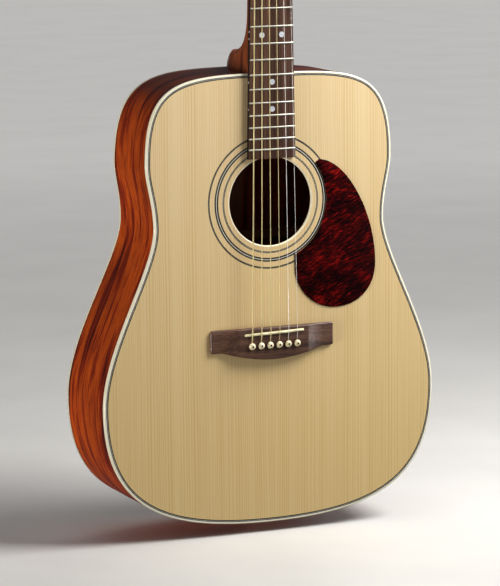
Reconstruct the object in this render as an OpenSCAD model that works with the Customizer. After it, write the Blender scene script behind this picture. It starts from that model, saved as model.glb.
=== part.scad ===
// Steel-string acoustic guitar, standing upright: +Z runs from the tail to the headstock,
// +X is the treble side and the soundboard faces -Y.
// The origin is the outer end of the strap button, on its axis.

/* [Body] */
// Length of the body, from tail to neck end
body_len = 515; // [505:1:525]
// Width of the lower bout
lower_w = 408; // [396:1:416]
// Height of the widest line of the lower bout above the tail
lower_z = 146; // [140:1:152]
// Width of the waist
waist_w = 282; // [272:1:290]
// Height of the waist above the tail
waist_z = 345; // [338:1:352]
// Width of the upper bout
upper_w = 301; // [294:1:308]
// Height of the widest line of the upper bout above the tail
upper_z = 416; // [412:1:420]
// Depth of the body at the tail
tail_depth = 127; // [120:1:130]
// Radius of the arched back
back_r = 3660; // [3600:10:3700]
// Height above the tail at which the body is deepest
back_crown_z = 8; // [0:1:20]
// Radius of the soundhole
hole_r = 50.4; // [48:0.1:51.5]
// Thickness of the soundboard and of the back
plate_t = 2.8; // [2.5:0.1:3.2]
// Thickness of the sides and of the binding
side_t = 2.2; // [2:0.1:2.5]
// Height of the binding strips
bind_h = 5.5; // [5:0.1:7]
// Width of the purfling inside the top binding
purf_w = 2.5; // [1.5:0.1:3]

/* [Neck] */
// Sounding length from nut to saddle, before compensation
scale_len = 643; // [640:0.5:648]
// Number of frets
fret_count = 20; // [18:1:20]
// Width of the fretboard at the nut
nut_w = 42; // [40:0.5:45]
// Width of the fretboard at its end
board_end_w = 57.5; // [55:0.5:60]
// Thickness of the fretboard on its centre line
board_t = 6; // [5.5:0.1:6.5]
// Radius of the fretboard's camber
camber_r = 406; // [300:1:500]
// Depth of the neck shaft under the fretboard at the nut
shaft_t = 15.5; // [15:0.5:18]
// Depth of the heel below the soundboard
heel_depth = 86; // [78:1:90]
// Backward tilt of the headstock
head_tilt = 14; // [10:1:16]
// Length of the headstock
head_len = 178; // [172:1:186]
// Thickness of the headstock without its veneer
head_t = 14; // [13:0.5:15]

/* [Strings] */
// Distance between the outer strings at the nut
nut_spread = 36; // [35:0.5:37]
// Distance between the outer strings at the saddle
saddle_spread = 55.8; // [54:0.1:57]
// String diameters, from the lowest string to the highest
string_d = [1.35, 1.07, 0.81, 0.61, 0.41, 0.3];
// Clearance of the lowest line of the strings above the body at the saddle
string_rise = 11.6; // [11:0.1:12.5]

/* [Tuners] */
// Radius of the string posts
post_r = 3; // [2.9:0.05:3.1]
// Height of the posts above the face of the headstock
post_h = 19; // [18:0.5:21]
// Running clearance between turning and fixed tuner parts
run_gap = 0.05; // [0.03:0.01:0.08]

/* [Hidden] */
$fn = 48;

// Where the body stands in the part's frame: the strap button's length below the tail, and its
// distance behind the soundboard
button_len = 12;
button_y = 62;

// Heights measured from the tail: neck joint, nut, end of the fretboard, soundhole and headstock.
// The body meets the neck at the 14th fret.
joint_z = body_len - 2;
function fret_s(n) = scale_len * (1 - pow(2, -n / 12));
nut_z = joint_z + fret_s(14);
board_len = fret_s(fret_count) + 10.5;
board_end_z = nut_z - board_len;
hole_z = board_end_z - hole_r + 1.2;
nut_len = 5;
head_z = nut_z + nut_len;

// Outline of the body: four Bezier curves from the tail centre round to the neck end
tail_pull = 132;
lower_pull_down = 115;
lower_pull_up = 67;
waist_pull_down = 45;
waist_pull_up = 30;
upper_pull_down = 20;
upper_pull_up = 98;
shoulder_pull = 108;
// Straight steps that each curve is drawn with
outline_steps = 11;
function bez(a, b, c, d, t) = pow(1 - t, 3) * a + 3 * t * pow(1 - t, 2) * b
    + 3 * t * t * (1 - t) * c + pow(t, 3) * d;
function bez_slope(a, b, c, d, t) = 3 * pow(1 - t, 2) * (b - a) + 6 * t * (1 - t) * (c - b)
    + 3 * t * t * (d - c);
body_curves = [
    [[0, 0], [tail_pull, 0], [lower_w / 2, lower_z - lower_pull_down], [lower_w / 2, lower_z]],
    [[lower_w / 2, lower_z], [lower_w / 2, lower_z + lower_pull_up],
        [waist_w / 2, waist_z - waist_pull_down], [waist_w / 2, waist_z]],
    [[waist_w / 2, waist_z], [waist_w / 2, waist_z + waist_pull_up],
        [upper_w / 2, upper_z - upper_pull_down], [upper_w / 2, upper_z]],
    [[upper_w / 2, upper_z], [upper_w / 2, upper_z + upper_pull_up],
        [shoulder_pull, body_len], [0, body_len]]];
function unit(v) = v / norm(v);
function right_of(v) = [v[1], -v[0]];
function on_curve(q, t, inset) = bez(q[0], q[1], q[2], q[3], t)
    - inset * unit(right_of(bez_slope(q[0], q[1], q[2], q[3], t)));
function half_outline(inset) = [for (q = body_curves) for (k = [0 : outline_steps - 1])
    on_curve(q, k / outline_steps, inset)];
function mirrored(points) = [for (k = [len(points) - 1 : -1 : 1]) [-points[k][0], points[k][1]]];
function body_outline(inset) = concat(half_outline(inset),
    [on_curve(body_curves[3], 1, inset)], mirrored(half_outline(inset)));

// Puts body coordinates (tail at z = 0, soundboard face at y = 0) into the part's frame
module placed() {
    translate([0, -button_y, button_len]) children();
}
// A flat outline in X and Z, made solid from y = y0 to y = y1
module slab(y0, y1) {
    translate([0, y1, 0]) rotate([90, 0, 0]) linear_extrude(y1 - y0) children();
}
module body_prism(inset, y0, y1) {
    slab(y0, y1) polygon(body_outline(inset));
}
module body_ring(outer, inner, y0, y1) {
    slab(y0, y1) difference() {
        polygon(body_outline(outer));
        polygon(body_outline(inner));
    }
}

// A depth that lies behind the whole body, for cutting
far = 140;
// The arched back is part of a large sphere; lift moves it towards the soundboard.
// Its rings are turned so that one of them passes through the deepest line of the back.
ball_fn = 256;
ball_turn = 180 / ball_fn;
module back_ball(lift) {
    translate([0, tail_depth - back_r - lift, back_crown_z])
        rotate([-ball_turn, 0, 0]) sphere(back_r, $fn = ball_fn);
}

// Linings, blocks and the neck's tenon
lining_w = 6;
lining_h = 12;
lining_in = side_t + lining_w;
block_w = 88;
neck_block_len = 50;
tail_block_len = 20;
tenon_w = 20;
tenon_len = 18;
tenon_depth = 78;

module hole_bar(r, y0, y1, x, z) {
    translate([x, y0, z]) rotate([-90, 0, 0]) cylinder(r = r, h = y1 - y0);
}

// Bridge: a straight top edge, two wings and a belly that swells towards the tail
bridge_w = 152;
bridge_top = nut_z - scale_len;
bridge_h = 9;
bridge_wing_len = 26.3;
bridge_belly = 10.3;
belly_half = 62;
bridge_round = 3;
// Saddle, slanted so that the low strings are longer
saddle_z = bridge_top - 5.9;
saddle_slant = 1.6;
saddle_w = 74;
saddle_t = 3;
saddle_sink = 5;
// Tapered pins and their holes
pin_z = saddle_z - 13.8;
pin_tip_r = 2.4;
pin_top_r = 2.75;
pin_len = 21;
pin_proud = 0.6;
pin_head_r = 3.9;
function spread(total, k) = -total / 2 + total * k / 5;
function camber(x) = camber_r - sqrt(camber_r * camber_r - x * x);

// Strings: k = 0 is the lowest string, on the bass side. Each runs from its ball end under the
// bridge plate past its pin, over the saddle and the nut, and stops just short of its windings.
function nut_pt(k) = [spread(nut_spread, k), -board_t - 1.6 + camber(spread(nut_spread, k)), nut_z];
function saddle_pt(k) = [spread(saddle_spread, k),
    -string_rise + camber(spread(saddle_spread, k)) - string_d[k] / 2,
    saddle_z + tan(saddle_slant) * spread(saddle_spread, k)];
function pin_mouth(k) = [spread(saddle_spread, k), -bridge_h - 0.3, pin_z + 2.6];
ball_y = plate_t + 5.2;
ball_r = 1.9;
ball_len = 3.4;
ball_off = 4.25;
string_fit = 0.12;
function ball_pt(k) = [spread(saddle_spread, k), ball_y, pin_z + ball_off];

// Tuners: k = 0, 1, 2 stand on the bass side from the nut up, 3, 4, 5 on the treble side down
post_x = 23;
post_first = 38;
post_step = 38;
veneer_t = 1.6;
function side_of(k) = k < 3 ? -1 : 1;
function post_row(k) = k < 3 ? k : 5 - k;
function post_up(k) = post_first + post_step * post_row(k);
function tilt_pt(p) = [p[0], p[1] * cos(head_tilt) + p[2] * sin(head_tilt),
    head_z + p[2] * cos(head_tilt) - p[1] * sin(head_tilt)];
module on_head() {
    placed() translate([0, 0, head_z]) rotate([-head_tilt, 0, 0]) children();
}
// Windings: their height above the veneer, the depth of the post's waist and the string's gap
wind_h = 9;
wind_waist = 0.5;
wind_gap = 0.35;
function wind_r(k) = post_r - wind_waist + string_d[k] / 2;
function meet_pt(k) = [side_of(k) * (post_x - wind_r(k)), -veneer_t - wind_h, post_up(k)];
function short_of(a, b, gap) = b - (b - a) / norm(b - a) * gap;
// Where the straight string stops just clear of the outermost winding
function wind_clear(k) = sqrt(pow(wind_r(k) + string_d[k] / 2 + wind_gap, 2)
    - pow(wind_r(k) - string_d[k] / 2, 2));
function string_end(k) = short_of(nut_back(k), tilt_pt(meet_pt(k)), wind_clear(k));
function nut_back(k) = nut_pt(k) + [0, 0.5, nut_len];

module rod(a, b, r) {
    d = b - a;
    translate(a) rotate([0, acos(d[2] / norm(d)), atan2(d[1], d[0])]) cylinder(r = r, h = norm(d));
}
function string_path(k) = [ball_pt(k), pin_mouth(k), saddle_pt(k), nut_pt(k), nut_back(k),
    string_end(k)];
module string_cut(k, extra, first, last) {
    path = string_path(k);
    for (i = [first : last - 1]) {
        past = unit(path[i + 1] - path[i]) * string_d[k];
        rod(path[i] - past, path[i + 1] + past, string_d[k] / 2 + extra);
    }
}
module string_slots(first, last, extra) {
    for (k = [0 : 5]) string_cut(k, extra, first, last);
}
// A round wire of 12 sides along a path, mitred at its bends
wire_sides = 12;
function along(path, i) = unit((i < len(path) - 1 ? unit(path[i + 1] - path[i]) : [0, 0, 0])
    + (i > 0 ? unit(path[i] - path[i - 1]) : [0, 0, 0]));
function mitre(path, i) = i == 0 || i == len(path) - 1 ? 1
    : 1 / (unit(path[i + 1] - path[i]) * along(path, i));
function wire_ring(path, i, r) = let (t = along(path, i), u = unit(cross(t, [1, 0, 0])),
    v = cross(t, u), m = mitre(path, i))
    [for (j = [0 : wire_sides - 1]) let (a = 360 * j / wire_sides)
        path[i] + r * (m * cos(a) * u + sin(a) * v)];
module wire(path, r) {
    n = len(path);
    polyhedron([for (i = [0 : n - 1]) for (p = wire_ring(path, i, r)) p], concat(
        [[for (j = [0 : wire_sides - 1]) j]],
        [[for (j = [wire_sides - 1 : -1 : 0]) (n - 1) * wire_sides + j]],
        [for (i = [0 : n - 2]) for (j = [0 : wire_sides - 1]) for (f = [0 : 1]) let (
            a = i * wire_sides + j, b = i * wire_sides + (j + 1) % wire_sides,
            c = b + wire_sides, d = a + wire_sides) f == 0 ? [a, d, b] : [b, d, c]]));
}
module taut_string(k) {
    color(k < 4 ? "darkgoldenrod" : "silver") placed() {
        wire(string_path(k), string_d[k] / 2);
        translate(ball_pt(k) - [ball_len / 2, 0, 0]) rotate([0, 90, 0])
            cylinder(r = ball_r, h = ball_len);
    }
}

// Body shells
// Depth of the inlaid rings round the soundhole, and each ring's inner and outer radius
ring_depth = 1.2;
rosette = [[56.9, 58.9], [64.3, 68.7], [74.7, 76.7]];
module rosette_cut(y0, y1) {
    for (r = rosette) translate([0, y1, hole_z]) rotate([90, 0, 0])
        rotate_extrude($fn = 96) translate([r[0], 0]) square([r[1] - r[0], y1 - y0]);
}
board_shadow_half = board_end_w / 2;
module rosette_rings() {
    color("#2a2320") placed() difference() {
        rosette_cut(0, ring_depth);
        slab(-1, ring_depth + 1) translate([-board_shadow_half, hole_z])
            square([board_end_w, 2 * hole_r]);
    }
}
module soundboard() {
    color("#ecd09e") placed() difference() {
        body_prism(side_t + purf_w, 0, plate_t);
        hole_bar(hole_r, -1, plate_t + 1, 0, hole_z, $fn = 96);
        difference() {
            rosette_cut(-1, ring_depth);
            slab(-2, ring_depth + 1) translate([-board_shadow_half, hole_z])
                square([board_end_w, 2 * hole_r]);
        }
        pin_holes();
        string_slots(0, 1, string_fit);
    }
}
module back_plate() {
    color("#8a3c16") placed() difference() {
        intersection() {
            body_prism(side_t, far / 2, far);
            back_ball(0);
        }
        back_ball(plate_t);
    }
}
module side_wall(sign) {
    placed() difference() {
        intersection() {
            body_ring(0, side_t, bind_h, far);
            back_ball(bind_h);
            translate([sign > 0 ? 0 : -lower_w, 0, -1]) cube([lower_w, far, body_len + 2]);
        }
        tenon_space(0);
        button_hole();
    }
}
module side_bass() {
    color("#9a4312") side_wall(-1);
}
module side_treble() {
    color("#9a4312") side_wall(1);
}
module tenon_space(grow) {
    translate([-tenon_w / 2 - grow, plate_t, joint_z - tenon_len - grow])
        cube([tenon_w + 2 * grow, tenon_depth, tenon_len + 30]);
}
module button_hole() {
    translate([0, button_y, -1]) cylinder(r = 4, h = tail_block_len + 6);
}
// Truss rod: its depth below the soundboard's face, its radius and the room around it
rod_y = 7.4;
rod_r = 2.4;
rod_gap = 0.6;
module rod_space(z0, z1) {
    translate([0, rod_y, z0]) cylinder(r = rod_r + rod_gap, h = z1 - z0);
}
module neck_block() {
    color("#b98552") placed() difference() {
        intersection() {
            body_prism(side_t, plate_t, far);
            back_ball(plate_t);
            translate([-block_w / 2, 0, joint_z - neck_block_len])
                cube([block_w, far, neck_block_len + 10]);
        }
        tenon_space(0);
        rod_space(joint_z - neck_block_len - 1, joint_z + 5);
    }
}
module tail_block() {
    color("#b98552") placed() difference() {
        intersection() {
            body_prism(side_t, plate_t, far);
            back_ball(plate_t);
            translate([-block_w / 2, 0, 0]) cube([block_w, far, tail_block_len]);
        }
        button_hole();
    }
}
module linings() {
    color("#d9b98a") placed() difference() {
        union() {
            body_ring(side_t, lining_in, plate_t, plate_t + lining_h);
            difference() {
                intersection() {
                    body_ring(side_t, lining_in, far / 2 - 10, far);
                    back_ball(plate_t);
                }
                back_ball(plate_t + lining_h);
            }
        }
        translate([-block_w / 2, 0, -1]) cube([block_w, far, tail_block_len + 1]);
        translate([-block_w / 2, 0, joint_z - neck_block_len])
            cube([block_w, far, neck_block_len + 10]);
    }
}
module binding_top() {
    color("ivory") placed() difference() {
        body_ring(0, side_t, 0, bind_h);
        tenon_space(0);
    }
}
module binding_back() {
    color("ivory") placed() difference() {
        intersection() {
            body_ring(0, side_t, far / 2, far);
            back_ball(0);
        }
        back_ball(bind_h);
    }
}
module purfling_top() {
    color("#241a18") placed() body_ring(side_t, side_t + purf_w, 0, plate_t);
}

// Bracing under the soundboard
brace_t = 8;
brace_h = 15;
brace_end_h = 3.5;
brace_steps = 8;
// The X brace: where its legs cross, their slope, and their reach towards the tail and the neck
cross_z = hole_z - hole_r - 36;
x_angle = 47;
x_down = 262;
x_up = 196;
function brace_y(s, down, up) = plate_t + brace_end_h
    + (brace_h - brace_end_h) * pow(cos(90 * (s < 0 ? -s / down : s / up)), 2);
module long_brace(down, up, t) {
    rotate([0, -90, 0]) translate([0, 0, -t / 2]) linear_extrude(t) polygon(concat(
        [[up, plate_t], [-down, plate_t]],
        [for (i = [0 : 2 * brace_steps]) let (s = -down + (down + up) * i / (2 * brace_steps))
            [s, brace_y(s, down, up)]]));
}
module x_leg(sign) {
    translate([0, 0, cross_z]) rotate([0, sign * x_angle, 0]) long_brace(x_down, x_up, brace_t);
}
lap_y = plate_t + brace_h / 2;
module half_lap(y0, y1) {
    translate([-15, y0, cross_z - 15]) cube([30, y1 - y0, 30]);
}
module x_brace(sign, lap_y0, lap_y1) {
    color("#e0c493") placed() difference() {
        intersection() {
            body_prism(lining_in, 0, far);
            x_leg(sign);
        }
        intersection() {
            half_lap(lap_y0, lap_y1);
            x_leg(-sign);
        }
    }
}
module x_brace_left() {
    x_brace(1, lap_y, lap_y + brace_h);
}
module x_brace_right() {
    x_brace(-1, 0, lap_y);
}
// Cross bar above the soundhole, two tone bars below the X and two finger braces on each side
transverse_z = hole_z + hole_r + 16;
tone_angle = 62;
tone_1 = [-22, cross_z - 122, 175];
tone_2 = [-8, cross_z - 172, 190];
tone_t = 7;
finger_angle = 72;
finger_1 = [142, cross_z - 62, 66];
finger_2 = [112, cross_z - 12, 62];
finger_t = 6;
module bar_at(x, z, angle, length, t) {
    translate([x, 0, z]) rotate([0, angle, 0]) long_brace(length / 2, length / 2, t);
}
module top_bars() {
    color("#e0c493") placed() difference() {
        intersection() {
            body_prism(lining_in, 0, far);
            union() {
                bar_at(0, transverse_z, 90, upper_w + 10, 12);
                for (b = [tone_1, tone_2]) bar_at(b[0], b[1], tone_angle, b[2], tone_t);
                for (sign = [-1, 1]) for (b = [finger_1, finger_2])
                    bar_at(sign * b[0], b[1], sign * finger_angle, b[2], finger_t);
            }
        }
        rod_space(transverse_z - 20, transverse_z + 20);
        for (sign = [-1, 1]) translate([0, -0.5, 0]) scale([1, 1.2, 1]) x_leg(sign);
    }
}
plate_top_z = bridge_top - 1;
plate_low_z = pin_z - 20;
function leg_gap(z) = (cross_z - z) * tan(x_angle) - brace_t / 2 / cos(x_angle) - 0.3;
module bridge_plate() {
    color("#dcb98c") placed() difference() {
        slab(plate_t, plate_t + 3) polygon([[-leg_gap(plate_top_z), plate_top_z],
            [-leg_gap(plate_low_z), plate_low_z], [leg_gap(plate_low_z), plate_low_z],
            [leg_gap(plate_top_z), plate_top_z]]);
        pin_holes();
        string_slots(0, 1, string_fit);
        bar_at(tone_1[0], tone_1[1], tone_angle, tone_1[2], tone_t + 0.4);
    }
}

// Bracing of the back
// Height and width of each brace across the back
back_bar_h = 14;
strip_w = 20;
strip_t = 2.2;
back_bars = [[92, 18], [196, 16], [318, 10], [432, 10]];
module back_braces() {
    color("#d9b98a") placed() difference() {
        intersection() {
            body_prism(lining_in, far / 2 - 20, far);
            back_ball(plate_t);
            for (b = back_bars) translate([-lower_w / 2, 0, b[0] - b[1] / 2])
                cube([lower_w, far, b[1]]);
        }
        back_ball(plate_t + back_bar_h);
    }
}
module back_strip() {
    color("#d9b98a") placed() difference() {
        intersection() {
            back_ball(plate_t);
            translate([-strip_w / 2, far / 2 - 20, tail_block_len])
                cube([strip_w, far, joint_z - neck_block_len - tail_block_len]);
        }
        back_ball(plate_t + strip_t);
        for (b = back_bars) translate([-strip_w, 0, b[0] - b[1] / 2])
            cube([2 * strip_w, far, b[1]]);
    }
}

// Bridge, saddle and pins
module pin_holes() {
    for (k = [0 : 5]) translate([spread(saddle_spread, k), -bridge_h - pin_proud, pin_z])
        rotate([-90, 0, 0]) cylinder(r1 = pin_top_r, r2 = pin_tip_r, h = pin_len);
}
function belly_arc() = [for (i = [0 : 16]) let (x = belly_half * (i / 8 - 1))
    [x, bridge_top - bridge_wing_len - bridge_belly * cos(90 * x / belly_half)]];
// A rounded corner of the bridge's outline, from its end to its long edge at height z
function bridge_corner(side, z, up) = let (x = side * bridge_w / 2)
    [for (i = [0 : 4]) bez([x, z - up * bridge_round], [x, z], [x, z],
        [x - side * bridge_round, z], i / 4)];
function turned(points) = [for (i = [len(points) - 1 : -1 : 0]) points[i]];
function bridge_outline() = let (low = bridge_top - bridge_wing_len) concat(
    bridge_corner(1, bridge_top, 1), turned(bridge_corner(-1, bridge_top, 1)),
    bridge_corner(-1, low, -1), belly_arc(), turned(bridge_corner(1, low, -1)));
// The wings are scooped by large cylinders down to their thin ends
scoop_r = 85;
scoop_x = 72;
scoop_in = 60;
wing_h = 3.6;
module bridge() {
    color("#5b3526") placed() difference() {
        slab(-bridge_h, 0) polygon(bridge_outline());
        for (sign = [-1, 1]) difference() {
            translate([sign * scoop_x, -wing_h - scoop_r, bridge_top - 50])
                cylinder(r = scoop_r, h = 60, $fn = 120);
            translate([sign > 0 ? -scoop_in : scoop_x - 30, -bridge_h - 1, bridge_top - 60])
                cube([scoop_in - scoop_x + 30, 40, 80]);
        }
        saddle_shape(0.02);
        pin_holes();
        string_slots(0, 3, string_fit);
    }
}
module saddle_shape(grow) {
    translate([0, 0, saddle_z]) rotate([0, -saddle_slant, 0])
        translate([-saddle_w / 2 - grow, -string_rise - 3, -saddle_t / 2 - grow])
            cube([saddle_w + 2 * grow, string_rise + 3 - bridge_h + saddle_sink + grow,
                saddle_t + 2 * grow]);
}
module saddle() {
    color("ivory") placed() intersection() {
        saddle_shape(0);
        translate([0, camber_r - string_rise, saddle_z - 20]) cylinder(r = camber_r, h = 40, $fn = 360);
    }
}
module bridge_pins() {
    color("ivory") placed() difference() {
        for (k = [0 : 5]) translate([spread(saddle_spread, k), 0, pin_z]) rotate([90, 0, 0])
            translate([0, 0, bridge_h + 0.55]) rotate_extrude() polygon([[0, 1 - pin_len],
                [pin_tip_r - 0.25, 1 - pin_len], [pin_top_r - 0.08, 0], [pin_head_r, 0],
                [pin_head_r, 1], [pin_head_r - 0.7, 2.6], [1.8, 3.4], [0, 3.6]]);
        string_slots(0, 3, string_fit + 0.03);
    }
}
// Pickguard: its rightmost, lowest, leftmost and topmost points, and the arc round the rosette
guard_t = 1;
guard_gap_r = 68.9;
guard_right = 130.5;
guard_right_z = hole_z - 77;
guard_low_x = 80;
guard_low_z = hole_z - 126;
guard_left = 29.6;
guard_left_z = hole_z - 78;
guard_top_x = 60;
guard_top_z = hole_z + 44.7;
module pickguard() {
    color("#5a1410") placed() difference() {
        slab(-guard_t, 0) polygon(concat(
            [[guard_left, guard_left_z], [guard_left - 2, hole_z], [0, guard_top_z]],
            [for (i = [0 : 12]) bez([guard_top_x, guard_top_z], [guard_top_x + 32, guard_top_z],
                [guard_right, guard_right_z + 60], [guard_right, guard_right_z], i / 12)],
            [for (i = [1 : 10]) bez([guard_right, guard_right_z], [guard_right, guard_right_z - 30],
                [guard_low_x + 30, guard_low_z], [guard_low_x, guard_low_z], i / 10)],
            [for (i = [1 : 9]) bez([guard_low_x, guard_low_z], [guard_low_x - 30, guard_low_z],
                [guard_left, guard_left_z - 22], [guard_left, guard_left_z], i / 10)]));
        hole_bar(guard_gap_r, -2, 1, 0, hole_z, $fn = 120);
    }
}
module strap_button() {
    color("ivory") placed() translate([0, button_y, 0]) rotate_extrude() polygon([
        [0, -button_len], [7, -button_len], [7, -button_len + 4],
        [4.4, -button_len + 6], [4.4, -2], [6, -1], [6, 0], [3.9, 0], [3.4, tail_block_len + 2],
        [0, tail_block_len + 2]]);
}

// Neck: rings of a C-shaped section along its length, deepening into the heel
// The heel's cap, its reach up the neck, and where the heel's curve has run out into the shaft
heel_cap_t = 2.5;
cap_reach = 22;
heel_reach = 74;
heel_extra = 15;
ring_steps = 18;
function board_half(z) = (nut_w + (board_end_w - nut_w) * (nut_z - z) / board_len) / 2;
function shaft_depth(z) = shaft_t + 3.5 * (nut_z - z) / (nut_z - joint_z);
function heel_y(u) = u < cap_reach
    ? heel_depth + heel_extra * (1 - pow(u / cap_reach, 2))
    : u > heel_reach ? 0
    : heel_depth - (heel_depth - shaft_depth(joint_z + heel_reach))
        * sqrt(1 - pow((heel_reach - u) / (heel_reach - cap_reach), 2));
function neck_depth(z) = max(shaft_depth(z), heel_y(z - joint_z));
function neck_ring(z) = let (w = board_half(z), t = neck_depth(z))
    [for (i = [0 : ring_steps]) let (a = 180 * i / ring_steps)
        [w * cos(a), min(heel_depth, t * pow(sin(a), 0.9)), z]];
neck_stations = concat([-3, 0, 4, 8, 12, 16, 19, 21, 22.2, 24, 27, 31, 36, 42, 50, 60, 74],
    [for (k = [1 : 9]) heel_reach + (nut_z + 1 - joint_z - heel_reach) * k / 9]);
module neck_loft() {
    rings = [for (u = neck_stations) neck_ring(joint_z + u)];
    m = ring_steps + 1;
    n = len(rings);
    polyhedron([for (r = rings) for (p = r) p], concat(
        [[for (i = [0 : m - 1]) i]], [[for (i = [m - 1 : -1 : 0]) (n - 1) * m + i]],
        [for (j = [0 : n - 2]) for (i = [0 : m - 1]) for (f = [0 : 1]) let (
            a = j * m + i, b = j * m + (i + 1) % m, c = b + m, d = a + m)
            f == 0 ? [a, d, c] : [a, c, b]]));
}
// Headstock widths at the nut, above its shoulders and near its crown
head_w0 = 46;
head_w1 = 62;
head_w2 = 75;
function head_outline(grow) = let (h = head_len) concat(
    [[head_w0 / 2 + grow, -4]],
    [for (i = [0 : 5]) bez([head_w0 / 2 + grow, 2], [head_w0 / 2 + grow, 12],
        [head_w1 / 2 + grow, 14], [head_w1 / 2 + grow + 0.3, 26], i / 5)],
    [[head_w2 / 2 + grow, h - 8]],
    [for (i = [0 : 6]) bez([head_w2 / 2 - 2 + grow, h - 3], [20, h - 1], [12, h + 4 + grow],
        [0, h + 4 + grow], i / 6)]);
module head_shape(y0, y1) {
    slab(y0, y1) polygon(concat(head_outline(0), mirrored_all(head_outline(0))));
}
function mirrored_all(points) = [for (k = [len(points) - 2 : -1 : 0]) [-points[k][0], points[k][1]]];
// Radius of the bushings' sleeves through the headstock, and the housing screws' pilot holes
sleeve_r = 4.9;
screw_z = -10.6;
pilot_r = 1.25;
pilot_len = 8.7;
module post_holes(r, y0, y1) {
    for (k = [0 : 5]) hole_bar(r, y0, y1, side_of(k) * post_x, post_up(k));
}
// The thickening behind the nut, where the shaft runs into the headstock
volute_len = 34;
module volute() {
    rings = [for (i = [0 : 10]) let (u = i / 10, z = -10 + volute_len * u,
        w = board_half(nut_z) + 2 * u, t = shaft_t + 3 - 6 * u * u)
        [for (j = [0 : ring_steps]) let (a = 180 * j / ring_steps)
            [w * cos(a), -0.5 + t * pow(sin(a), 0.9) * (1 - 0.12 * u), z]]];
    m = ring_steps + 1;
    polyhedron([for (r = rings) for (p = r) p], concat(
        [[for (i = [0 : m - 1]) i]], [[for (i = [m - 1 : -1 : 0]) 10 * m + i]],
        [for (j = [0 : 9]) for (i = [0 : m - 1]) for (f = [0 : 1]) let (
            a = j * m + i, b = j * m + (i + 1) % m, c = b + m, d = a + m)
            f == 0 ? [a, d, c] : [a, c, b]]));
}
module neck() {
    color("#9c5a30") union() {
        placed() difference() {
            union() {
                neck_loft();
                tenon_solid();
            }
            heel_trim();
            rod_channel();
        }
        on_head() difference() {
            union() {
                head_shape(0, head_t);
                intersection() {
                    volute();
                    translate([-40, 0, -20]) cube([80, 40, 80]);
                }
            }
            post_holes(sleeve_r, -1, head_t + 1);
            for (k = [0 : 5]) hole_bar(pilot_r, head_t - pilot_len, head_t + 1,
                side_of(k) * post_x, post_up(k) + screw_z);
            translate([-40, -1, -40]) cube([80, 60, 40 - 1]);
            nut_seat();
        }
    }
}
// The wedge cleared from the top of the tilted headstock for the upright nut
module nut_seat() {
    rotate([head_tilt, 0, 0]) translate([-40, -nut_h, -nut_len]) cube([80, nut_h, nut_len]);
}
module tenon_solid() {
    translate([-tenon_w / 2, plate_t, joint_z - tenon_len])
        cube([tenon_w, tenon_depth, tenon_len + 4]);
}
module heel_trim() {
    difference() {
        body_prism(0, -10, far);
        translate([-tenon_w / 2, 0, 0]) cube([tenon_w, plate_t + tenon_depth, body_len + 10]);
    }
    translate([-20, -10, joint_z - 30]) cube([40, 10 + plate_t, 32]);
    translate([-40, heel_depth - heel_cap_t, joint_z - 10]) cube([80, 40, 40]);
}
module rod_channel() {
    rod_space(joint_z - tenon_len - 1, nut_z - 12);
    translate([-rod_r - rod_gap, -1, joint_z + 4])
        cube([2 * (rod_r + rod_gap), rod_y + 1, nut_z - 12 - joint_z - 4]);
}
module heel_cap() {
    color("#2a1b16") placed() difference() {
        intersection() {
            neck_loft();
            translate([-40, heel_depth - heel_cap_t, joint_z - 10]) cube([80, 40, 60]);
        }
        body_prism(0, -10, far);
    }
}

// Fretboard, frets, inlays and nut
module camber_bar(y, z0, z1) {
    translate([0, camber_r + y, z0]) cylinder(r = camber_r, h = z1 - z0, $fn = 360);
}
// Frets: width and height of the crown, thickness and depth of the tang
fret_w = 2;
crown_h = 0.8;
tang_t = 0.6;
tang_h = 2;
// Radius of the crown's rounded top
crown_r = (crown_h * crown_h + fret_w * fret_w / 4) / (2 * crown_h);
module board_blank(y0, y1, grow) {
    slab(y0, y1) polygon([[-board_half(nut_z) - grow, nut_z],
        [-board_half(board_end_z) - grow, board_end_z], [board_half(board_end_z) + grow, board_end_z],
        [board_half(nut_z) + grow, nut_z]]);
}
module fret_arc(z, extra) {
    a = asin((board_half(z) - 0.3) / camber_r) + extra;
    translate([0, camber_r - board_t, z]) rotate([0, 0, -90 - a]) rotate_extrude(angle = 2 * a)
        children();
}
module fret_profile() {
    translate([camber_r - tang_h, -tang_t / 2]) square([tang_h + 0.1, tang_t]);
    translate([camber_r, 0]) intersection() {
        translate([crown_h - crown_r, 0]) circle(crown_r, $fn = 32);
        translate([0, -fret_w / 2]) square([crown_h, fret_w]);
    }
}
module frets() {
    color("silver") placed() for (n = [1 : fret_count]) fret_arc(nut_z - fret_s(n), 0) fret_profile();
}
// Pearl dots at the usual frets, two at the 12th, and small dots along the bass edge
dot_r = 3.2;
dot_frets = [3, 5, 7, 9, 15, 17];
function dot_z(n) = nut_z - (fret_s(n) + fret_s(n - 1)) / 2;
double_dot_x = 12;
module dot_cylinders(r, y0, y1) {
    for (n = dot_frets) hole_bar(r, y0, y1, 0, dot_z(n));
    for (sign = [-1, 1]) hole_bar(r, y0, y1, sign * double_dot_x, dot_z(12));
}
side_dot_r = 1;
module side_dot(z) {
    translate([-board_half(z) - 0.02, -board_t / 2 + 0.4, z]) rotate([0, 90, 0])
        cylinder(r = side_dot_r, h = 2);
}
module side_dots() {
    for (n = dot_frets) side_dot(dot_z(n));
    for (d = [-4, 4]) side_dot(dot_z(12) + d);
}
module fretboard() {
    color("#4f3a33") placed() difference() {
        intersection() {
            board_blank(-board_t, 0, 0);
            camber_bar(-board_t, board_end_z - 1, nut_z + 1);
        }
        for (n = [1 : fret_count]) fret_arc(nut_z - fret_s(n), 1)
            translate([camber_r - tang_h - 0.1, -tang_t / 2 - 0.02]) square([tang_h + 1, tang_t + 0.04]);
        dot_cylinders(dot_r, -board_t - 1, -board_t + 2);
        side_dots();
    }
}
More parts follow.
